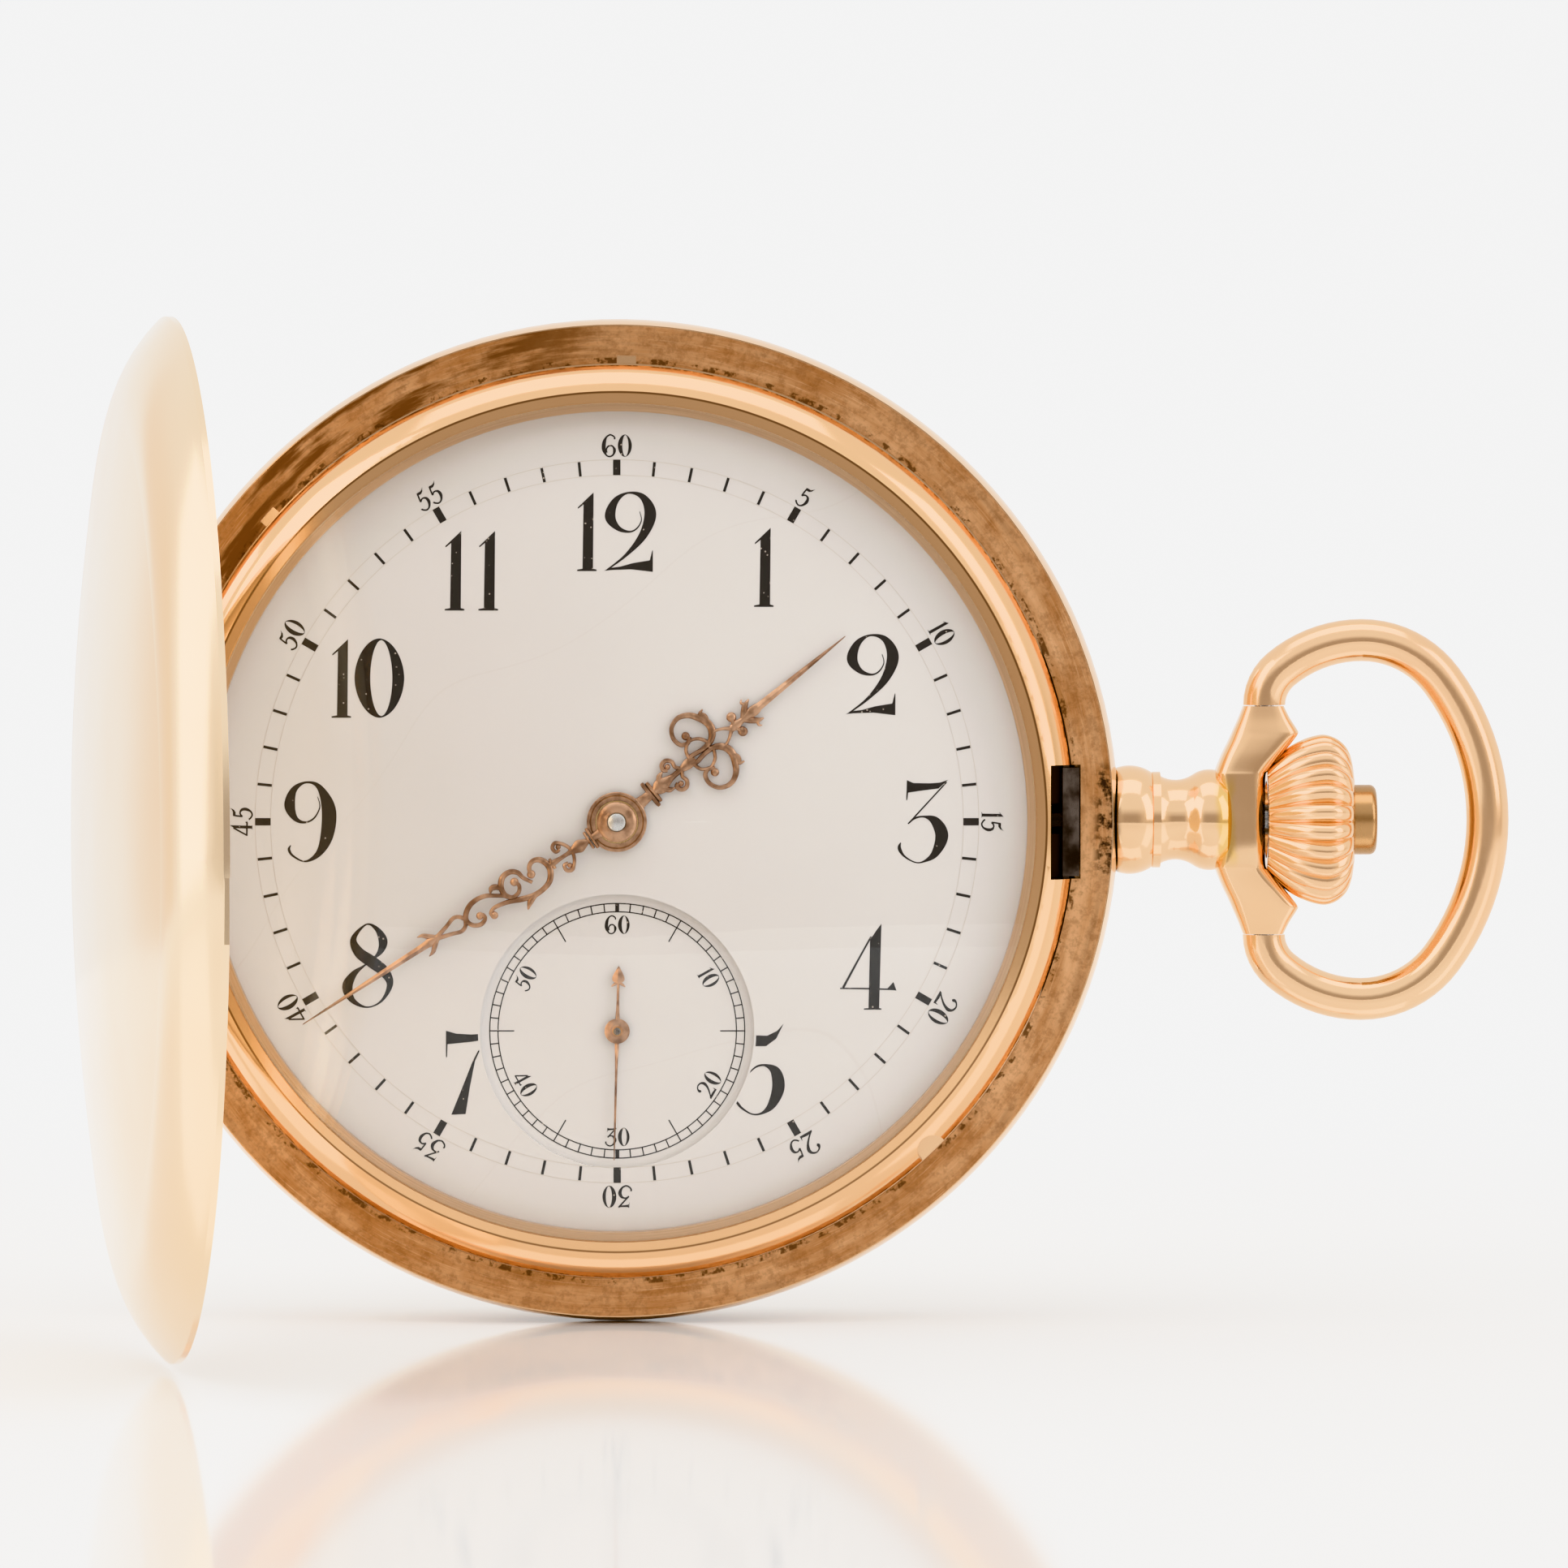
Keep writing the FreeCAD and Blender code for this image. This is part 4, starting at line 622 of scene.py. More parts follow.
def ellipse(x, y, across, up, count, power=2.0):
    """A closed outline; a power under 2 gives it pointed ends."""
    made = []
    for i in range(count):
        a = FULL_TURN * i / count
        c = math.cos(a)
        s = math.sin(a)
        made.append((
            x + across * math.copysign(abs(c) ** (2 / power), c),
            y + up * math.copysign(abs(s) ** (2 / power), s)))
    return made


def counter_clockwise(shape):
    """The outline, reversed if it runs clockwise."""
    area = sum(a[0] * b[1] - b[0] * a[1] for a, b in zip(shape, [*shape[1:], shape[0]]))
    return shape if area > 0 else shape[::-1]


def merged(shapes, holes=()):
    """Triangles of the union of flat shapes without the holes: (points, triangles)."""
    points = []
    faces = []
    for shape in [*shapes, *holes]:
        faces.append(list(range(len(points), len(points) + len(shape))))
        points.extend(Vector(p) for p in counter_clockwise(shape))
    first_hole = len(shapes)
    out, _, triangles, _, _, sources = geometry.delaunay_2d_cdt(points, [], faces, 1, 1e-5)
    kept = [
        tuple(t) for t, origin in zip(triangles, sources)
        if origin and all(o < first_hole for o in origin)
    ]
    return [(p.x, p.y) for p in out], kept


def plate(mesh, shapes, holes, back, front):
    """Adds the union of flat shapes as a plate from height back to height front."""
    points, triangles = merged(shapes, holes)
    count = len(points)
    edges = {}
    for a, b, c in triangles:
        for edge in ((a, b), (b, c), (c, a)):
            edges[edge] = edges.get(edge, 0) + 1
    rim = [edge for edge in edges if (edge[1], edge[0]) not in edges]
    low = [(x, -back, z) for x, z in points]
    high = [(x, -front, z) for x, z in points]
    faces = [tuple(i + count for i in t) for t in triangles]
    faces += [tuple(reversed(t)) for t in triangles]
    faces += [(a, b, b + count, a + count) for a, b in rim]
    used = sorted({i for face in faces for i in face})
    index = {old: new for new, old in enumerate(used)}
    both = low + high
    mesh.add([both[i] for i in used], [tuple(index[i] for i in face) for face in faces])


def turned(mesh, profile, center=(0.0, 0.0), count=64):
    """Adds a ring turned about the dial's axis; the profile is a loop of (radius, height)."""
    rings = []
    for i in range(count):
        a = FULL_TURN * i / count
        rings.append([
            (center[0] + r * math.sin(a), -h, center[1] + r * math.cos(a)) for r, h in profile
        ])
    mesh.loft(rings, closed_path=True)


# ---- numerals

# Each figure is 1 high. Strokes are (x, y, half width) and shapes are plain outlines.

ONE = {
    "width": 0.25,
    "shapes": [
        [(0.208, 0.99), (0.2, 0.03), (0.245, 0.018), (0.245, 0.0), (0.0, 0.0), (0.0, 0.018),
         (0.068, 0.03), (0.082, 0.84), (0.014, 0.785), (0.008, 0.8)],
    ],
}
TWO = {
    "width": 0.66,
    "strokes": [[
        (0.448, 0.75, 0.004), (0.47, 0.64, 0.006), (0.41, 0.535, 0.009), (0.31, 0.495, 0.013),
        (0.17, 0.545, 0.034), (0.076, 0.69, 0.066), (0.145, 0.885, 0.04), (0.305, 0.985, 0.012),
        (0.49, 0.93, 0.04), (0.583, 0.72, 0.074), (0.49, 0.45, 0.052), (0.275, 0.2, 0.019),
        (0.035, 0.015, 0.008),
    ]],
    "shapes": [
        [(0.0, 0.004), (0.07, 0.04), (0.2, 0.055), (0.36, 0.1), (0.575, 0.135), (0.607, 0.26),
         (0.614, 0.26), (0.613, -0.01), (0.34, 0.022), (0.1, 0.014)],
    ],
}
SMALL_TWO = {
    "width": 0.62,
    "strokes": [[
        (0.13, 0.7, 0.05), (0.07, 0.76, 0.07), (0.12, 0.9, 0.03), (0.3, 0.985, 0.02), (0.49, 0.91, 0.05),
        (0.56, 0.73, 0.075), (0.46, 0.47, 0.05), (0.25, 0.22, 0.03), (0.04, 0.03, 0.02),
    ]],
    "shapes": [[(0.0, 0.0), (0.05, 0.1), (0.3, 0.13), (0.56, 0.1), (0.61, 0.24), (0.62, 0.0)]],
}
THREE = {
    "width": 0.62,
    "strokes": [
        [(0.6, 0.98, 0.008), (0.37, 0.73, 0.008), (0.135, 0.475, 0.009)],
        [(0.135, 0.475, 0.008), (0.22, 0.545, 0.011), (0.34, 0.56, 0.014), (0.465, 0.5, 0.058),
         (0.54, 0.33, 0.078), (0.46, 0.12, 0.046), (0.33, 0.025, 0.013), (0.22, 0.012, 0.007),
         (0.09, 0.085, 0.012), (0.03, 0.18, 0.021), (0.045, 0.25, 0.005)],
    ],
    "shapes": [
        [(0.12, 1.0), (0.2, 0.965), (0.4, 0.962), (0.52, 0.97), (0.616, 1.005), (0.5, 0.9),
         (0.3, 0.875), (0.135, 0.85), (0.123, 0.76), (0.112, 0.762)],
    ],
}
FOUR = {
    "width": 0.655,
    "strokes": [
        [(0.36, 0.85, 0.01), (0.2, 0.56, 0.011), (0.035, 0.255, 0.014)],
        [(0.0, 0.248, 0.007), (0.3, 0.245, 0.009), (0.62, 0.235, 0.008)],
    ],
    "shapes": [
        [(0.48, 1.0), (0.475, 0.85), (0.454, 0.018), (0.48, 0.014), (0.48, 0.0), (0.277, 0.0),
         (0.277, 0.014), (0.33, 0.018), (0.348, 0.81), (0.42, 0.92)],
        [(0.54, 0.236), (0.62, 0.322), (0.655, 0.222)],
    ],
}
FIVE = {
    "width": 0.54,
    "strokes": [
        [(0.196, 0.86, 0.007), (0.16, 0.65, 0.007), (0.136, 0.447, 0.006)],
        [(0.136, 0.447, 0.005), (0.23, 0.53, 0.01), (0.335, 0.542, 0.016), (0.44, 0.47, 0.056),
         (0.468, 0.3, 0.068), (0.4, 0.12, 0.046), (0.3, 0.028, 0.015), (0.19, 0.01, 0.008),
         (0.08, 0.07, 0.011), (0.025, 0.13, 0.014), (0.012, 0.16, 0.005)],
    ],
    "shapes": [
        [(0.193, 0.872), (0.193, 0.753), (0.333, 0.753), (0.444, 0.835), (0.526, 1.0),
         (0.457, 0.921), (0.346, 0.867)],
    ],
}
SEVEN = {
    "width": 0.62,
    "shapes": [
        [(0.0, 1.0), (0.12, 0.965), (0.3, 0.955), (0.47, 0.965), (0.6, 1.0), (0.61, 0.985),
         (0.5, 0.9), (0.3, 0.868), (0.018, 0.84), (0.012, 0.685), (0.0, 0.687)],
        [(0.6, 0.995), (0.38, 0.76), (0.318, 0.64), (0.2, 0.34), (0.062, 0.0), (0.232, 0.008),
         (0.285, 0.34), (0.345, 0.64), (0.4, 0.76)],
    ],
}
EIGHT = {
    "width": 0.605,
    "loops": [[
        (0.288, 0.985, 0.009), (0.14, 0.82, 0.034), (0.2, 0.66, 0.06), (0.355, 0.545, 0.07),
        (0.5, 0.43, 0.062), (0.566, 0.28, 0.037), (0.47, 0.09, 0.014), (0.3, 0.012, 0.009),
        (0.13, 0.09, 0.032), (0.065, 0.25, 0.062), (0.14, 0.4, 0.038), (0.25, 0.49, 0.013),
        (0.375, 0.585, 0.012), (0.46, 0.68, 0.036), (0.485, 0.8, 0.052), (0.41, 0.935, 0.026),
    ]],
}
NINE = {
    "width": 0.645,
    "strokes": [[
        (0.414, 0.808, 0.004), (0.44, 0.68, 0.007), (0.37, 0.545, 0.01), (0.255, 0.492, 0.013),
        (0.14, 0.54, 0.032), (0.07, 0.7, 0.066), (0.124, 0.895, 0.038), (0.275, 0.985, 0.012),
        (0.435, 0.925, 0.034), (0.55, 0.66, 0.086), (0.53, 0.34, 0.08), (0.43, 0.115, 0.04),
        (0.265, 0.012, 0.011), (0.115, 0.075, 0.013), (0.06, 0.155, 0.016), (0.082, 0.21, 0.005),
    ]],
}
SIX = {
    "width": 0.645,
    "strokes": [[(0.645 - x, 1.0 - y, w) for x, y, w in NINE["strokes"][0]]],
}
ZERO = {
    "width": 0.626,
    "shapes": [ellipse(0.313, 0.5, 0.313, 0.5, 56, 1.85)],
    "holes": [ellipse(0.337, 0.5, 0.14, 0.478, 56, 1.9)],
}
FIGURES = dict(zip("0123456789", (ZERO, ONE, TWO, THREE, FOUR, FIVE, SIX, SEVEN, EIGHT, NINE)))


def figure_shapes(figure, least):
    """Flat outlines of one figure, its strokes at least 2 * least wide."""
    shapes = list(figure.get("shapes", []))
    for key in ("strokes", "loops"):
        for points in figure.get(key, []):
            shapes += pen([(x, y, max(w, least)) for x, y, w in points], closed=key == "loops")
    return shapes, list(figure.get("holes", []))


def add_number(mesh, text, height, center, turn, front, gap, least=0.0, cut=()):
    """Adds a number whose middle is at center, turned clockwise by turn degrees.

    Small print has a least half width and a plainer two.
    """
    spread = [FIGURES[t]["width"] for t in text]
    total = sum(spread) + gap * (len(text) - 1)
    angle = math.radians(turn)
    start = -total / 2
    for figure, width in zip(text, spread):
        shapes, holes = figure_shapes(SMALL_TWO if least and figure == "2" else FIGURES[figure], least)

        def set_down(x, y, start=start):
            u = (x + start) * height
            v = (y - 0.5) * height
            return (
                center[0] + u * math.cos(angle) + v * math.sin(angle),
                center[1] - u * math.sin(angle) + v * math.cos(angle),
            )

        shapes = [[set_down(*p) for p in shape] for shape in shapes]
        holes = [[set_down(*p) for p in hole] for hole in holes]
        plate(mesh, shapes, holes + list(cut), front, front + PRINT_THICKNESS)
        start += width + gap


def polar(radius, degrees, center=(0.0, 0.0)):
    """A point at a clock angle, clockwise from twelve."""
    a = math.radians(degrees)
    return (center[0] + radius * math.sin(a), center[1] + radius * math.cos(a))


def add_bar(mesh, inner, outer, width, degrees, front, center=(0.0, 0.0)):
    """Adds a radial stroke of the track."""
    a = math.radians(degrees)
    side = (math.cos(a) * width / 2, -math.sin(a) * width / 2)
    near = polar(inner, degrees, center)
    far = polar(outer, degrees, center)
    corners = [
        (near[0] - side[0], near[1] - side[1]), (near[0] + side[0], near[1] + side[1]),
        (far[0] + side[0], far[1] + side[1]), (far[0] - side[0], far[1] - side[1]),
    ]
    plate(mesh, [corners], [], front, front + PRINT_THICKNESS)


def add_circle(mesh, radius, width, front, center=(0.0, 0.0), thickness=PRINT_THICKNESS):
    """Adds a printed circle."""
    low = radius - width / 2
    high = radius + width / 2
    profile = [(low, front), (high, front), (high, front + thickness), (low, front + thickness)]
    turned(mesh, profile, center, 180)


HOUR_NUMERALS = {
    "12": (15.0, 4.1), "1": (15.2, 4.12), "2": (15.25, 4.15), "3": (15.8, 4.3), "4": (15.0, 4.45),
    "5": (14.8, 4.75), "7": (15.0, 4.35), "8": (14.9, 4.4), "9": (15.85, 4.2), "10": (14.85, 4.1),
    "11": (15.0, 4.15),
}


def hour_numerals():
    """The upright hour figures; five and seven stop at the small dial."""
    mesh = Mesh()
    small_dial = ellipse(0.0, SECONDS_DOWN, 7.2, 7.2, 90)
    for text, (radius, height) in HOUR_NUMERALS.items():
        gap = {"12": 0.09, "11": 0.17, "10": 0.04}.get(text, 0.0)
        cut = [small_dial] if text in ("5", "7") else []
        add_number(mesh, text, height, polar(radius, int(text) * 30), 0, DIAL_FRONT, gap, cut=cut)
    mesh.piece("hour_numerals", "case", "enamel", "dial_black", smooth=0)


def minute_track():
    """Sixty strokes, a block at each fifth, their figures and two hairline circles."""
    marks = Mesh()
    for minute in range(60):
        degrees = minute * 6
        if minute % 5:
            add_bar(marks, 17.93, 18.67, 0.14, degrees, DIAL_FRONT)
        else:
            add_bar(marks, *MINUTE_TRACK, 0.38, degrees, DIAL_FRONT)
            at = polar(MINUTE_FIGURES, degrees)
            add_number(marks, str(minute or 60), 1.15, at, degrees, DIAL_FRONT, 0.08, 0.035)
    marks.piece("minute_track", "case", "enamel", "dial_black", smooth=0)
    circles = Mesh()
    for radius in MINUTE_TRACK:
        add_circle(circles, radius, 0.035, DIAL_FRONT, thickness=PRINT_THICKNESS / 2)
    circles.piece("minute_circles", "case", "enamel", "track_gray", smooth=0)


def seconds_track():
    """The small dial's two circles, sixty strokes, long strokes and figures."""
    mesh = Mesh()
    center = (0.0, SECONDS_DOWN)
    for radius in SECONDS_TRACK:
        add_circle(mesh, radius, 0.055, SECONDS_FRONT, center)
    for second in range(60):
        degrees = second * 6
        inner = 5.33 if second % 10 == 5 else SECONDS_TRACK[0]
        width = 0.2 if second % 30 == 0 else 0.06
        add_bar(mesh, inner, SECONDS_TRACK[1], width, degrees, SECONDS_FRONT, center)
    for text, turn in (("60", 0), ("10", 60), ("20", -60), ("30", 0), ("40", 60), ("50", -60)):
        at = polar(SECONDS_FIGURES, int(text) * 6, center)
        add_number(mesh, text, 0.95, at, turn, SECONDS_FRONT, 0.08, 0.035)
    mesh.piece("seconds_track", "case", "enamel", "dial_black", smooth=0)


# ---- hands


class Hand:
    """A hand in its own plane: u runs to the tip and v to its left."""

    def __init__(self, degrees, back, center=(0.0, 0.0), height=0.15, bead_height=0.16):
        a = math.radians(degrees)
        self.along = (math.sin(a), math.cos(a))
        self.left = (-math.cos(a), math.sin(a))
        self.back = back
        self.center = center
        self.height = height
        self.bead_height = bead_height
        self.mesh = Mesh()

    def at(self, u, v, height):
        x = self.center[0] + u * self.along[0] + v * self.left[0]
        z = self.center[1] + u * self.along[1] + v * self.left[1]
        return (x, -(self.back + height), z)

    def wire(self, points, height=None, mirror=False, ridge=False):
        """Adds a rounded strip through (u, v, half width)."""
        height = height or self.height
        path = [(u, v, w * WIRE_SWELL) for u, v, w in curve_through(points, 6)]
        normals = sides(path)
        half = [(1.0, 0.35), (0.12, 0.95)] if ridge else [(0.93, 0.5), (0.62, 0.86)]
        arch = [(1.0, 0.0), *half, (0.0, 1.0), *((-c, h) for c, h in reversed(half)), (-1.0, 0.0)]
        for sign in (1, -1) if mirror else (1,):
            rings = []
            for (u, v, w), (nu, nv) in zip(path, normals):
                top = min(height, 0.3 * height + 1.6 * w)
                rings.append([
                    self.at(u + nu * w * c, sign * (v + nv * w * c), top * h) for c, h in arch
                ])
            self.mesh.loft(rings)

    def bead(self, u, v, radius, mirror=False):
        """Adds a domed ball end."""
        for sign in (1, -1) if mirror else (1,):
            rings = []
            for step in range(7):
                lift = math.radians(90 * step / 6)
                ring = radius * max(0.02, math.cos(lift))
                height = self.bead_height * math.sin(lift)
                turns = [FULL_TURN * k / 20 for k in range(20)]
                rings.append([
                    self.at(u + ring * math.cos(a), sign * v + ring * math.sin(a), height) for a in turns
                ])
            self.mesh.loft(rings)

    def pair(self, points, height=None):
        """Adds a wire and its mirror image."""
        self.wire(points, height, mirror=True)

    def beads(self, u, v, radius):
        """Adds a ball end and its mirror image."""
        self.bead(u, v, radius, mirror=True)

    def collar(self, u, reach, width, tip):
        """Adds a short wire across the hand."""
        self.wire([(u, -reach, tip), (u, -reach * 0.8, width), (u, 0, width), (u, reach * 0.8, width),
                   (u, reach, tip)])

    def boss(self, profile):
        """Adds the turned boss; the profile is a loop of (radius, height above the hand's back)."""
        turned(self.mesh, [(r, self.back + h) for r, h in profile], self.center, 72)


def hour_hand():
    hand = Hand(HOUR_HAND_ANGLE, HOUR_HAND_BACK)
    hand.boss([(1.12, 0.0), (1.5, 0.0), (1.55, 0.04), (1.55, 0.12), (1.5, 0.16), (1.4, 0.16),
               (1.33, 0.1), (1.2, 0.09), (1.12, 0.1)])
    hand.wire([(1.45, 0, 0.3), (1.8, 0, 0.24), (2.2, 0, 0.22)])
    hand.collar(2.24, 0.75, 0.1, 0.06)
    hand.collar(2.46, 0.62, 0.09, 0.06)
    # leaf, first pair of curls and the stem
    hand.wire([(2.5, 0, 0.16), (2.75, 0, 0.3), (3.05, 0, 0.34), (3.4, 0, 0.2), (3.8, 0, 0.13),
               (4.3, 0, 0.15), (4.8, 0, 0.24), (5.2, 0, 0.1)])
    hand.pair([(2.9, 0.1, 0.1), (3.15, 0.42, 0.12), (3.45, 0.52, 0.04)])
    hand.pair([(4.35, 0.0, 0.09), (4.12, 0.3, 0.09), (4.16, 0.62, 0.09), (3.95, 0.86, 0.1),
               (3.66, 0.82, 0.1), (3.55, 0.56, 0.1), (3.72, 0.42, 0.09)])
    hand.beads(3.82, 0.55, 0.15)
    # big scrolls
    hand.pair([(4.75, 0.0, 0.12), (5.1, 0.2, 0.11), (5.8, 0.12, 0.11), (6.4, 0.2, 0.14),
               (6.78, 0.55, 0.17), (6.86, 1.0, 0.17), (6.66, 1.5, 0.15), (6.33, 1.95, 0.13),
               (5.8, 2.17, 0.11), (5.25, 1.98, 0.1), (4.98, 1.5, 0.1), (5.06, 1.02, 0.1),
               (5.4, 0.85, 0.1), (5.68, 1.06, 0.1)])
    hand.beads(5.55, 1.2, 0.22)
    hand.pair([(6.8, 0.95, 0.12), (6.95, 1.35, 0.13), (6.85, 1.62, 0.1), (7.1, 1.72, 0.03)])
    hand.pair([(4.95, 0.1, 0.08), (5.1, 0.62, 0.08), (5.55, 0.86, 0.07), (6.0, 0.66, 0.08),
               (6.25, 0.25, 0.08)])
    # diamond
    hand.pair([(6.1, 0.02, 0.08), (6.45, 0.28, 0.07), (6.85, 0.45, 0.07), (7.25, 0.3, 0.07),
               (7.6, 0.04, 0.1)])
    hand.wire([(7.5, 0, 0.12), (7.92, 0, 0.2), (8.3, 0, 0.14), (8.7, 0, 0.2), (9.1, 0, 0.24),
               (9.4, 0, 0.2)])
    hand.pair([(7.85, 0.1, 0.1), (7.97, 0.35, 0.1)])
    hand.beads(8.0, 0.47, 0.26)
    # fleur pair and needle
    hand.pair([(8.4, 0.05, 0.1), (8.7, 0.3, 0.14), (8.95, 0.5, 0.12), (9.28, 0.62, 0.03)])
    hand.pair([(8.95, 0.52, 0.08), (8.85, 0.72, 0.06), (8.98, 0.86, 0.02)])
    hand.wire([(9.0, 0, 0.2), (9.6, 0, 0.17), (11.5, 0, 0.13), (13.5, 0, 0.08), (15.2, 0, 0.02)],
              0.16, ridge=True)
    piece = hand.mesh.piece("hour_hand_filigree", "hour", "hand_gold", "hand_gold")
    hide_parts("hour_hand")


def minute_hand():
    hand = Hand(MINUTE_HAND_ANGLE, MINUTE_HAND_BACK, height=0.14, bead_height=0.14)
    hand.boss([(0.77, 0.0), (1.0, 0.0), (1.05, 0.04), (1.04, 0.12), (0.96, 0.2), (0.8, 0.25), (0.62, 0.25),
               (0.56, 0.29), (0.49, 0.29), (0.47, 0.23), (0.77, 0.23)])
    hand.wire([(0.95, 0, 0.22), (1.3, 0, 0.16), (1.5, 0, 0.16)])
    hand.collar(1.52, 0.6, 0.08, 0.05)
    hand.collar(1.72, 0.5, 0.07, 0.05)
    hand.wire([(1.75, 0, 0.1), (2.05, 0, 0.22), (2.3, 0, 0.29), (2.6, 0, 0.2), (3.0, 0, 0.1),
               (3.5, 0, 0.1), (3.95, 0, 0.14), (4.2, 0.02, 0.1)])
    hand.pair([(2.75, 0.0, 0.08), (2.82, 0.3, 0.08), (3.0, 0.6, 0.08), (3.27, 0.82, 0.09),
               (3.52, 0.68, 0.09), (3.48, 0.4, 0.08), (3.25, 0.42, 0.08)])
    hand.beads(3.24, 0.56, 0.14)
    hand.wire([(3.96, -0.3, 0.06), (3.96, 0, 0.09), (3.96, 0.3, 0.06)])
    # first C scroll and the strand below it
    hand.wire([(5.2, -0.16, 0.1), (5.06, -0.5, 0.1), (4.75, -0.66, 0.11), (4.4, -0.52, 0.13),
               (4.2, -0.12, 0.14), (4.26, 0.3, 0.14), (4.6, 0.7, 0.13), (5.1, 0.86, 0.12),
               (5.7, 0.86, 0.13), (6.3, 0.68, 0.13), (6.8, 0.48, 0.11), (7.3, 0.34, 0.1),
               (7.75, 0.3, 0.09), (8.02, 0.45, 0.09), (7.95, 0.72, 0.09)])
    hand.bead(5.18, -0.13, 0.22)
    hand.bead(7.92, 0.62, 0.2)
    hand.wire([(5.5, 0.86, 0.1), (5.95, 1.02, 0.14), (6.3, 1.32, 0.03)])
    # second C scroll
    hand.wire([(5.35, 0.25, 0.08), (5.62, -0.2, 0.09), (5.72, -0.58, 0.11), (6.05, -0.83, 0.12),
               (6.5, -0.8, 0.13), (6.83, -0.45, 0.13), (6.9, 0.0, 0.12), (6.65, 0.34, 0.1),
               (6.25, 0.32, 0.09), (6.02, 0.05, 0.09), (6.08, -0.24, 0.09)])
    hand.bead(6.12, -0.27, 0.22)
    hand.wire([(6.86, -0.3, 0.08), (7.05, -0.55, 0.13), (7.3, -0.62, 0.12), (7.5, -0.42, 0.03)])
    # upper strand and inner curl
    hand.wire([(6.95, 0.05, 0.09), (7.35, -0.22, 0.09), (7.75, -0.46, 0.1), (8.25, -0.56, 0.11),
               (8.75, -0.48, 0.12), (9.15, -0.2, 0.12), (9.28, 0.12, 0.11), (9.12, 0.46, 0.1),
               (8.75, 0.64, 0.1), (8.4, 0.5, 0.09), (8.42, 0.22, 0.09)])
    hand.bead(8.56, 0.24, 0.2)
    # teardrop
    hand.pair([(9.3, 0.0, 0.1), (9.48, 0.28, 0.09), (9.8, 0.4, 0.09), (10.3, 0.24, 0.09),
               (10.95, 0.06, 0.1)])
    # fleur pair and needle
    hand.wire([(10.8, 0, 0.12), (11.2, 0, 0.18), (11.6, 0, 0.2)])
    hand.pair([(11.1, 0.08, 0.1), (11.4, 0.32, 0.11), (11.62, 0.5, 0.09), (11.9, 0.58, 0.02)])
    hand.wire([(11.5, 0, 0.18), (12.2, 0, 0.15), (14.5, 0, 0.12), (17.0, 0, 0.07), (19.3, 0, 0.02)],
              ridge=True)
    piece = hand.mesh.piece("minute_hand_filigree", "center", "hand_gold", "hand_gold")
    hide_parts("minute_hand")


def seconds_hand():
    hand = Hand(SECONDS_HAND_ANGLE, SECONDS_HAND_BACK, (0.0, SECONDS_DOWN))
    hand.boss([(0.2, 0.0), (0.6, 0.0), (0.65, 0.03), (0.65, 0.07), (0.58, 0.1), (0.42, 0.1),
               (0.38, 0.12), (0.26, 0.12), (0.2, 0.08)])
    hand.wire([(0.55, 0, 0.1), (2.0, 0, 0.055), (4.5, 0, 0.045), (6.7, 0, 0.02)], 0.1, ridge=True)
    hand.wire([(-0.55, 0, 0.1), (-1.5, 0, 0.06), (-2.55, 0, 0.06)], 0.1)
    hand.wire([(-2.45, 0, 0.05), (-2.6, 0, 0.24), (-2.8, 0, 0.26), (-3.1, 0, 0.14), (-3.36, 0, 0.02)],
              0.12, ridge=True)
    hand.pair([(-2.5, 0.0, 0.05), (-2.42, 0.2, 0.06), (-2.3, 0.36, 0.02)], 0.1)
    piece = hand.mesh.piece("seconds_hand_fine", "fourth", "hand_gold", "hand_gold")
    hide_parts("seconds_hand")


def arbor_tips():
    """Domed steel ends: polished on the centre arbor, blackened on the seconds arbor."""
    center = Mesh()
    tip = -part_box("center_wheel")[0].y / MM
    turned(center, [(0.0, tip), (0.44, tip), (0.44, tip + 0.02), (0.38, tip + 0.05), (0.0, tip + 0.08)])
    center.piece("center_arbor_tip", "center", "steel", "steel", smooth=50)
    seconds = Mesh()
    tip = -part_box("fourth_wheel")[0].y / MM
    turned(seconds, [(0.0, tip), (0.19, tip), (0.17, tip + 0.02), (0.0, tip + 0.04)], (0.0, SECONDS_DOWN), 40)
    seconds.piece("seconds_arbor_tip", "fourth", "steel", "spring_steel", smooth=50)


# ---- crown, bow and yoke

STEM_HEIGHT = -(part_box("crown")[0].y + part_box("crown")[1].y) / 2 / MM
CROWN_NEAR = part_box("crown")[0].x / MM
CROWN_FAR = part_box("crown")[1].x / MM
CROWN_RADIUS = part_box("crown")[1].z / MM
CROWN_FLUTES = 24


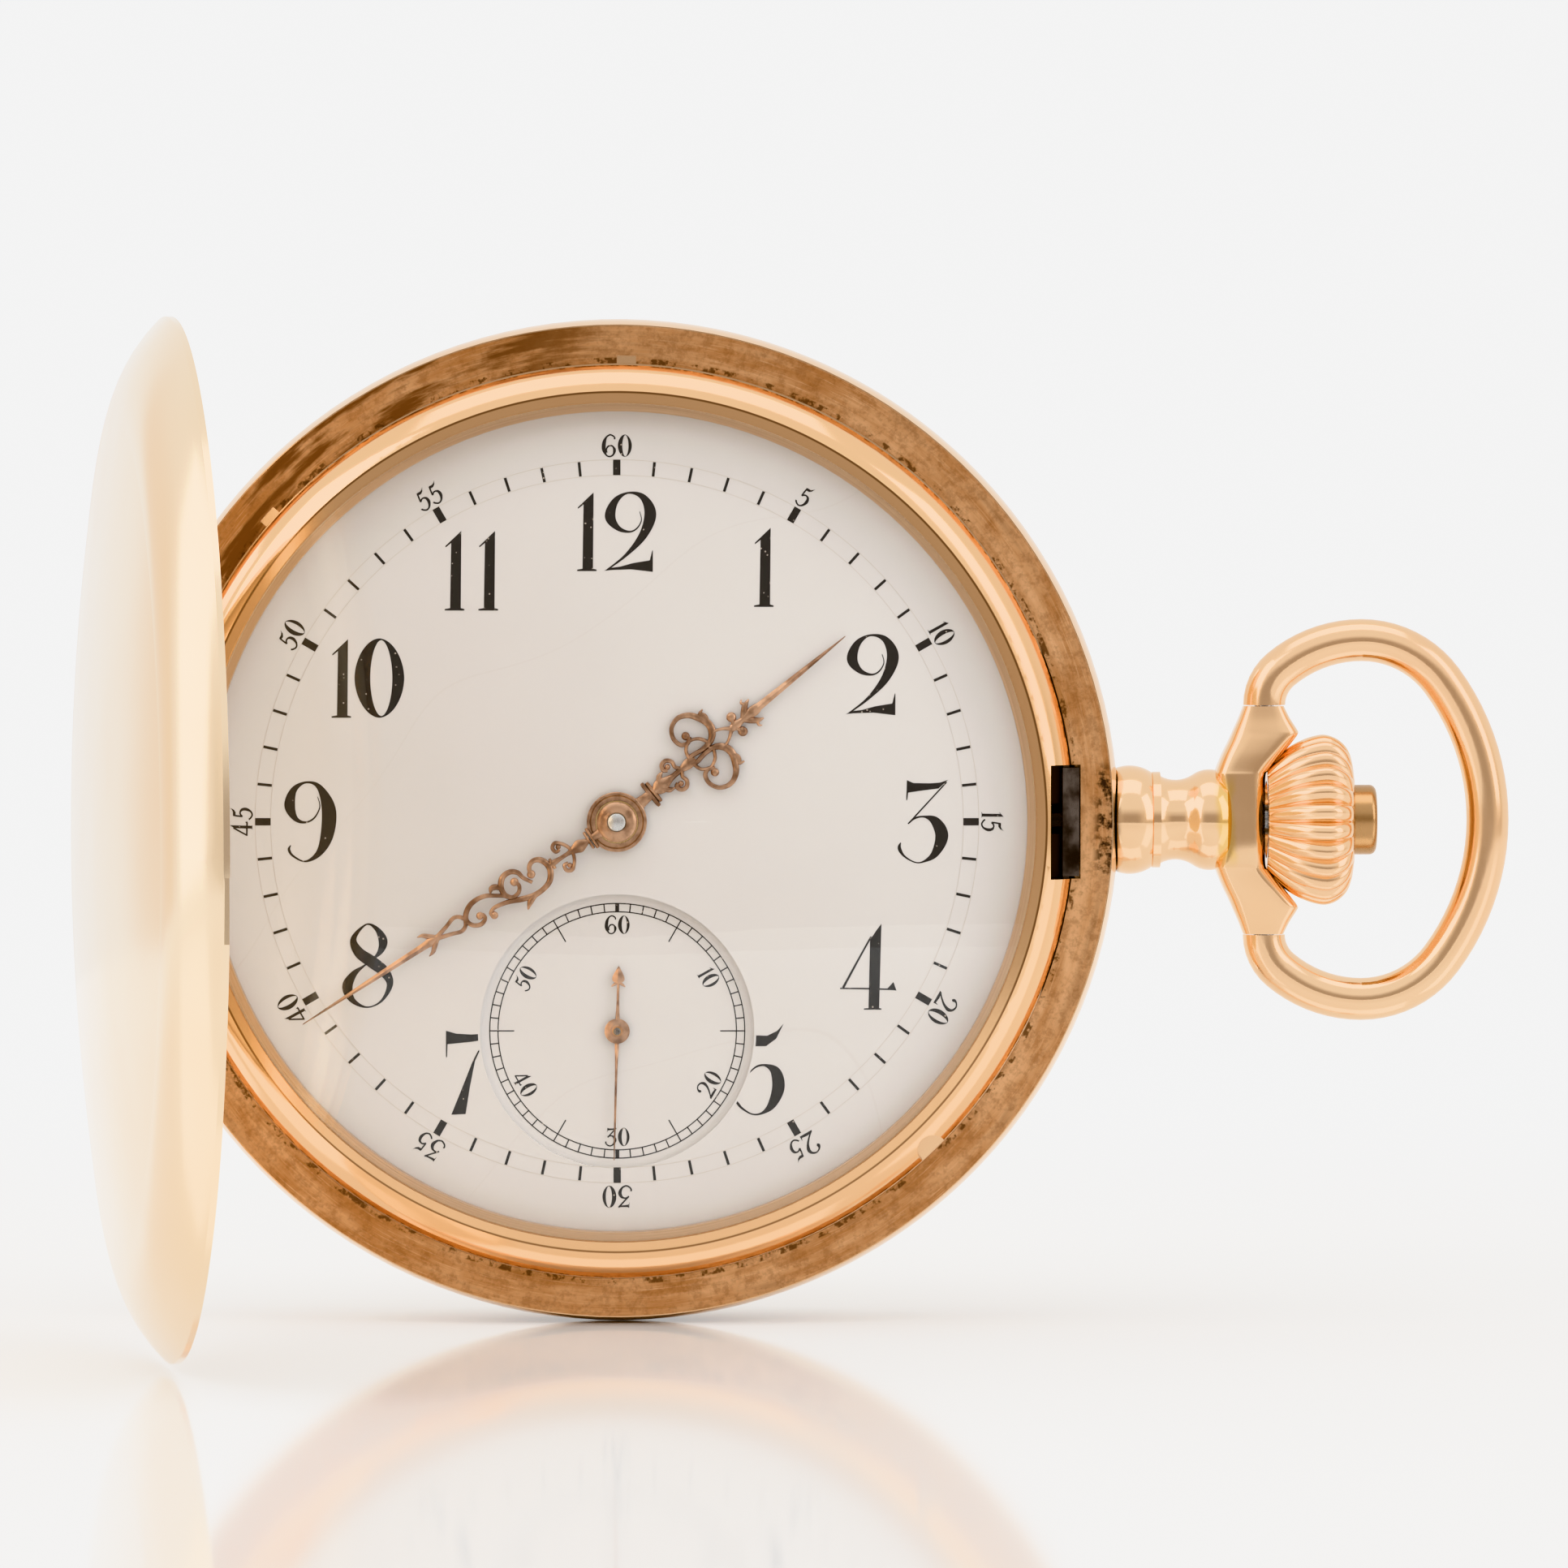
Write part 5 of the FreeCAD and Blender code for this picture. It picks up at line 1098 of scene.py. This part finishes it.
def crown():
    """A melon of rounded flutes on a cone, closed round the button."""
    length = CROWN_FAR - CROWN_NEAR
    # share of the length, share of the radius, depth of the grooves in mm
    outline = [
        (0.0, 0.45, 0.0), (0.0, 0.6, 0.1), (0.02, 0.645, 0.22), (0.14, 0.755, 0.3), (0.27, 0.855, 0.36),
        (0.42, 0.935, 0.4), (0.56, 0.982, 0.44), (0.68, 0.995, 0.46), (0.8, 0.955, 0.46), (0.9, 0.87, 0.42),
        (0.96, 0.76, 0.34), (0.99, 0.62, 0.2), (1.0, 0.5, 0.06), (0.995, 0.43, 0.0), (0.9, 0.42, 0.0),
    ]
    path = curve_through(outline, 5)
    around = CROWN_FLUTES * 14
    rings = []
    for along, share, depth in path:
        ring = []
        for k in range(around):
            a = FULL_TURN * k / around
            wave = abs(math.sin(a * CROWN_FLUTES / 2))
            radius = CROWN_RADIUS * min(share, 1.0) - depth * (1 - wave ** 0.75)
            x = CROWN_NEAR + length * min(max(along, 0.0), 1.0)
            ring.append((x, -STEM_HEIGHT + radius * math.cos(a), radius * math.sin(a)))
        rings.append(ring)
    mesh = Mesh()
    mesh.loft(rings, closed_path=True)
    piece = mesh.piece("crown_fluted", "stem", "bow_gold", "bow_gold", smooth=50)
    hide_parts("crown")


def rounded_section(x_low, x_high, depth, height, z, sharp=4.2, count=56):
    """A ring of points round a rounded rectangle in the XY plane at height z."""
    ring = []
    for k in range(count):
        a = FULL_TURN * k / count
        c = math.cos(a)
        s = math.sin(a)
        across = math.copysign(abs(c) ** (2 / sharp), c) * (x_high - x_low) / 2
        deep = math.copysign(abs(s) ** (2 / sharp), s) * depth
        ring.append(((x_low + x_high) / 2 + across, -height - deep, z))
    return ring


def yoke():
    """The saddle that carries the bow: bowed outside, notched round the crown."""
    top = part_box("bow_yoke")[1].z / MM
    # distance from the stem's axis, near side, far side, half depth
    half = [
        (0.0, 31.3, 33.66, 1.78), (1.2, 31.25, 33.66, 1.78), (2.3, 31.06, 33.68, 1.74),
        (2.6, 31.1, 33.85, 1.7), (3.4, 31.42, 34.52, 1.6), (4.1, 31.76, 35.1, 1.48),
        (4.5, 31.94, 35.38, 1.4), (4.75, 32.05, 35.3, 1.35), (5.3, 32.29, 34.95, 1.24),
        (top, 32.53, 34.64, 1.14),
    ]
    side = curve_through(half, 4)
    outline = [(-z, a, b, d) for z, a, b, d in reversed(side[1:])] + side
    rings = [rounded_section(a, b, d, STEM_HEIGHT, z) for z, a, b, d in outline]
    mesh = Mesh()
    mesh.loft(rings)
    piece = mesh.piece("bow_saddle", "case", "bow_gold", "pendant", smooth=50)
    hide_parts("bow_yoke")


# ---- stage


def table():
    """A round white table top."""
    level = (CASE_BOTTOM - 0.02) * MM
    rings = [0.002 * step ** 1.5 for step in range(1, 29)]
    points = [(0.0, 0.0, level)]
    faces = []
    around = 72
    for index, radius in enumerate(rings):
        for k in range(around):
            a = FULL_TURN * k / around
            points.append((radius * math.cos(a), radius * math.sin(a), level))
        first = 1 + index * around
        for k in range(around):
            n = (k + 1) % around
            if index:
                faces.append((first - around + k, first + k, first + n, first - around + n))
            else:
                faces.append((0, first + k, first + n))
    data = bpy.data.meshes.new("table_top")
    data.from_pydata(points, [], faces)
    data.materials.append(white_table())
    new_object("table_top", data)


def softbox(name, location, width, height, strength):
    """An area light that looks at the watch."""
    data = bpy.data.lights.new(name, "AREA")
    data.shape = "RECTANGLE"
    data.size = width
    data.size_y = height
    data.energy = strength
    obj = new_object(name, data)
    obj.location = location
    obj.rotation_euler = (Vector(location) * -1).to_track_quat("-Z", "Y").to_euler()
    obj.visible_camera = False


def room():
    """A bright studio, darker and warm behind the camera; what the camera itself sees is plain white."""
    world = bpy.data.worlds.new("studio")
    bpy.context.scene.world = world
    world.use_nodes = True
    nodes = Nodes(world.node_tree)
    background = next(n for n in world.node_tree.nodes if n.type == "BACKGROUND")
    where = nodes.add("TexCoord").outputs["Generated"]
    x, y, z = nodes.add("SeparateXYZ", {0: where}).outputs
    front = nodes.times(y, -1.0)
    left = nodes.times(x, -1.0)
    tone = nodes.mix(nodes.step(front, -0.2, 0.35), color(1.02, 1.02, 1.02), color(0.74, 0.67, 0.6))
    tone = nodes.mix(nodes.between(left, 0.5, 0.82, 0.06), tone, color(0.96, 0.86, 0.76))
    tone = nodes.mix(nodes.step(front, 0.72, 0.97), tone, color(0.48, 0.43, 0.39))
    tone = nodes.mix(nodes.step(z, 0.12, 0.5), tone, color(0.98, 0.97, 0.96))
    below = nodes.fall(z, -0.28, 0.02)
    below = nodes.times(below, nodes.step(front, 0.0, 0.4))
    tone = nodes.mix(below, tone, color(0.3, 0.23, 0.17))
    seen = nodes.add("LightPath").outputs["Is Camera Ray"]
    world.node_tree.links.new(nodes.mix(seen, tone, BACKGROUND), background.inputs["Color"])


def lights():
    softbox("left_window", (-0.75, -0.55, 0.45), 0.6, 0.8, 3.2)
    softbox("side_window", (-0.8, 0.12, 0.22), 0.4, 0.6, 1.5)
    softbox("right_window", (0.8, -0.45, 0.4), 0.4, 0.8, 2.2)
    softbox("top_window", (0.0, -0.2, 0.95), 1.0, 0.6, 3.2)


CAMERA_AT = (8.64, -473.3, 16.6)
CAMERA_TARGET = (8.64, -10.3, 1.95)
CAMERA_LENS = 205.6


def camera():
    """Looks slightly down at a point right of the case's middle."""
    data = bpy.data.cameras.new("camera")
    data.sensor_width = 36
    data.lens = CAMERA_LENS
    data.clip_start = 0.01
    data.clip_end = 20
    obj = new_object("camera", data)
    obj.location = Vector(CAMERA_AT) * MM
    target = Vector(CAMERA_TARGET) * MM
    obj.rotation_euler = (target - obj.location).to_track_quat("-Z", "Y").to_euler()
    bpy.context.scene.camera = obj


dress_cad_nodes()
hour_numerals()
minute_track()
seconds_track()
hour_hand()
minute_hand()
seconds_hand()
arbor_tips()
crown()
yoke()
table()
room()
lights()
camera()
bpy.context.scene.view_settings.view_transform = "Khronos PBR Neutral"
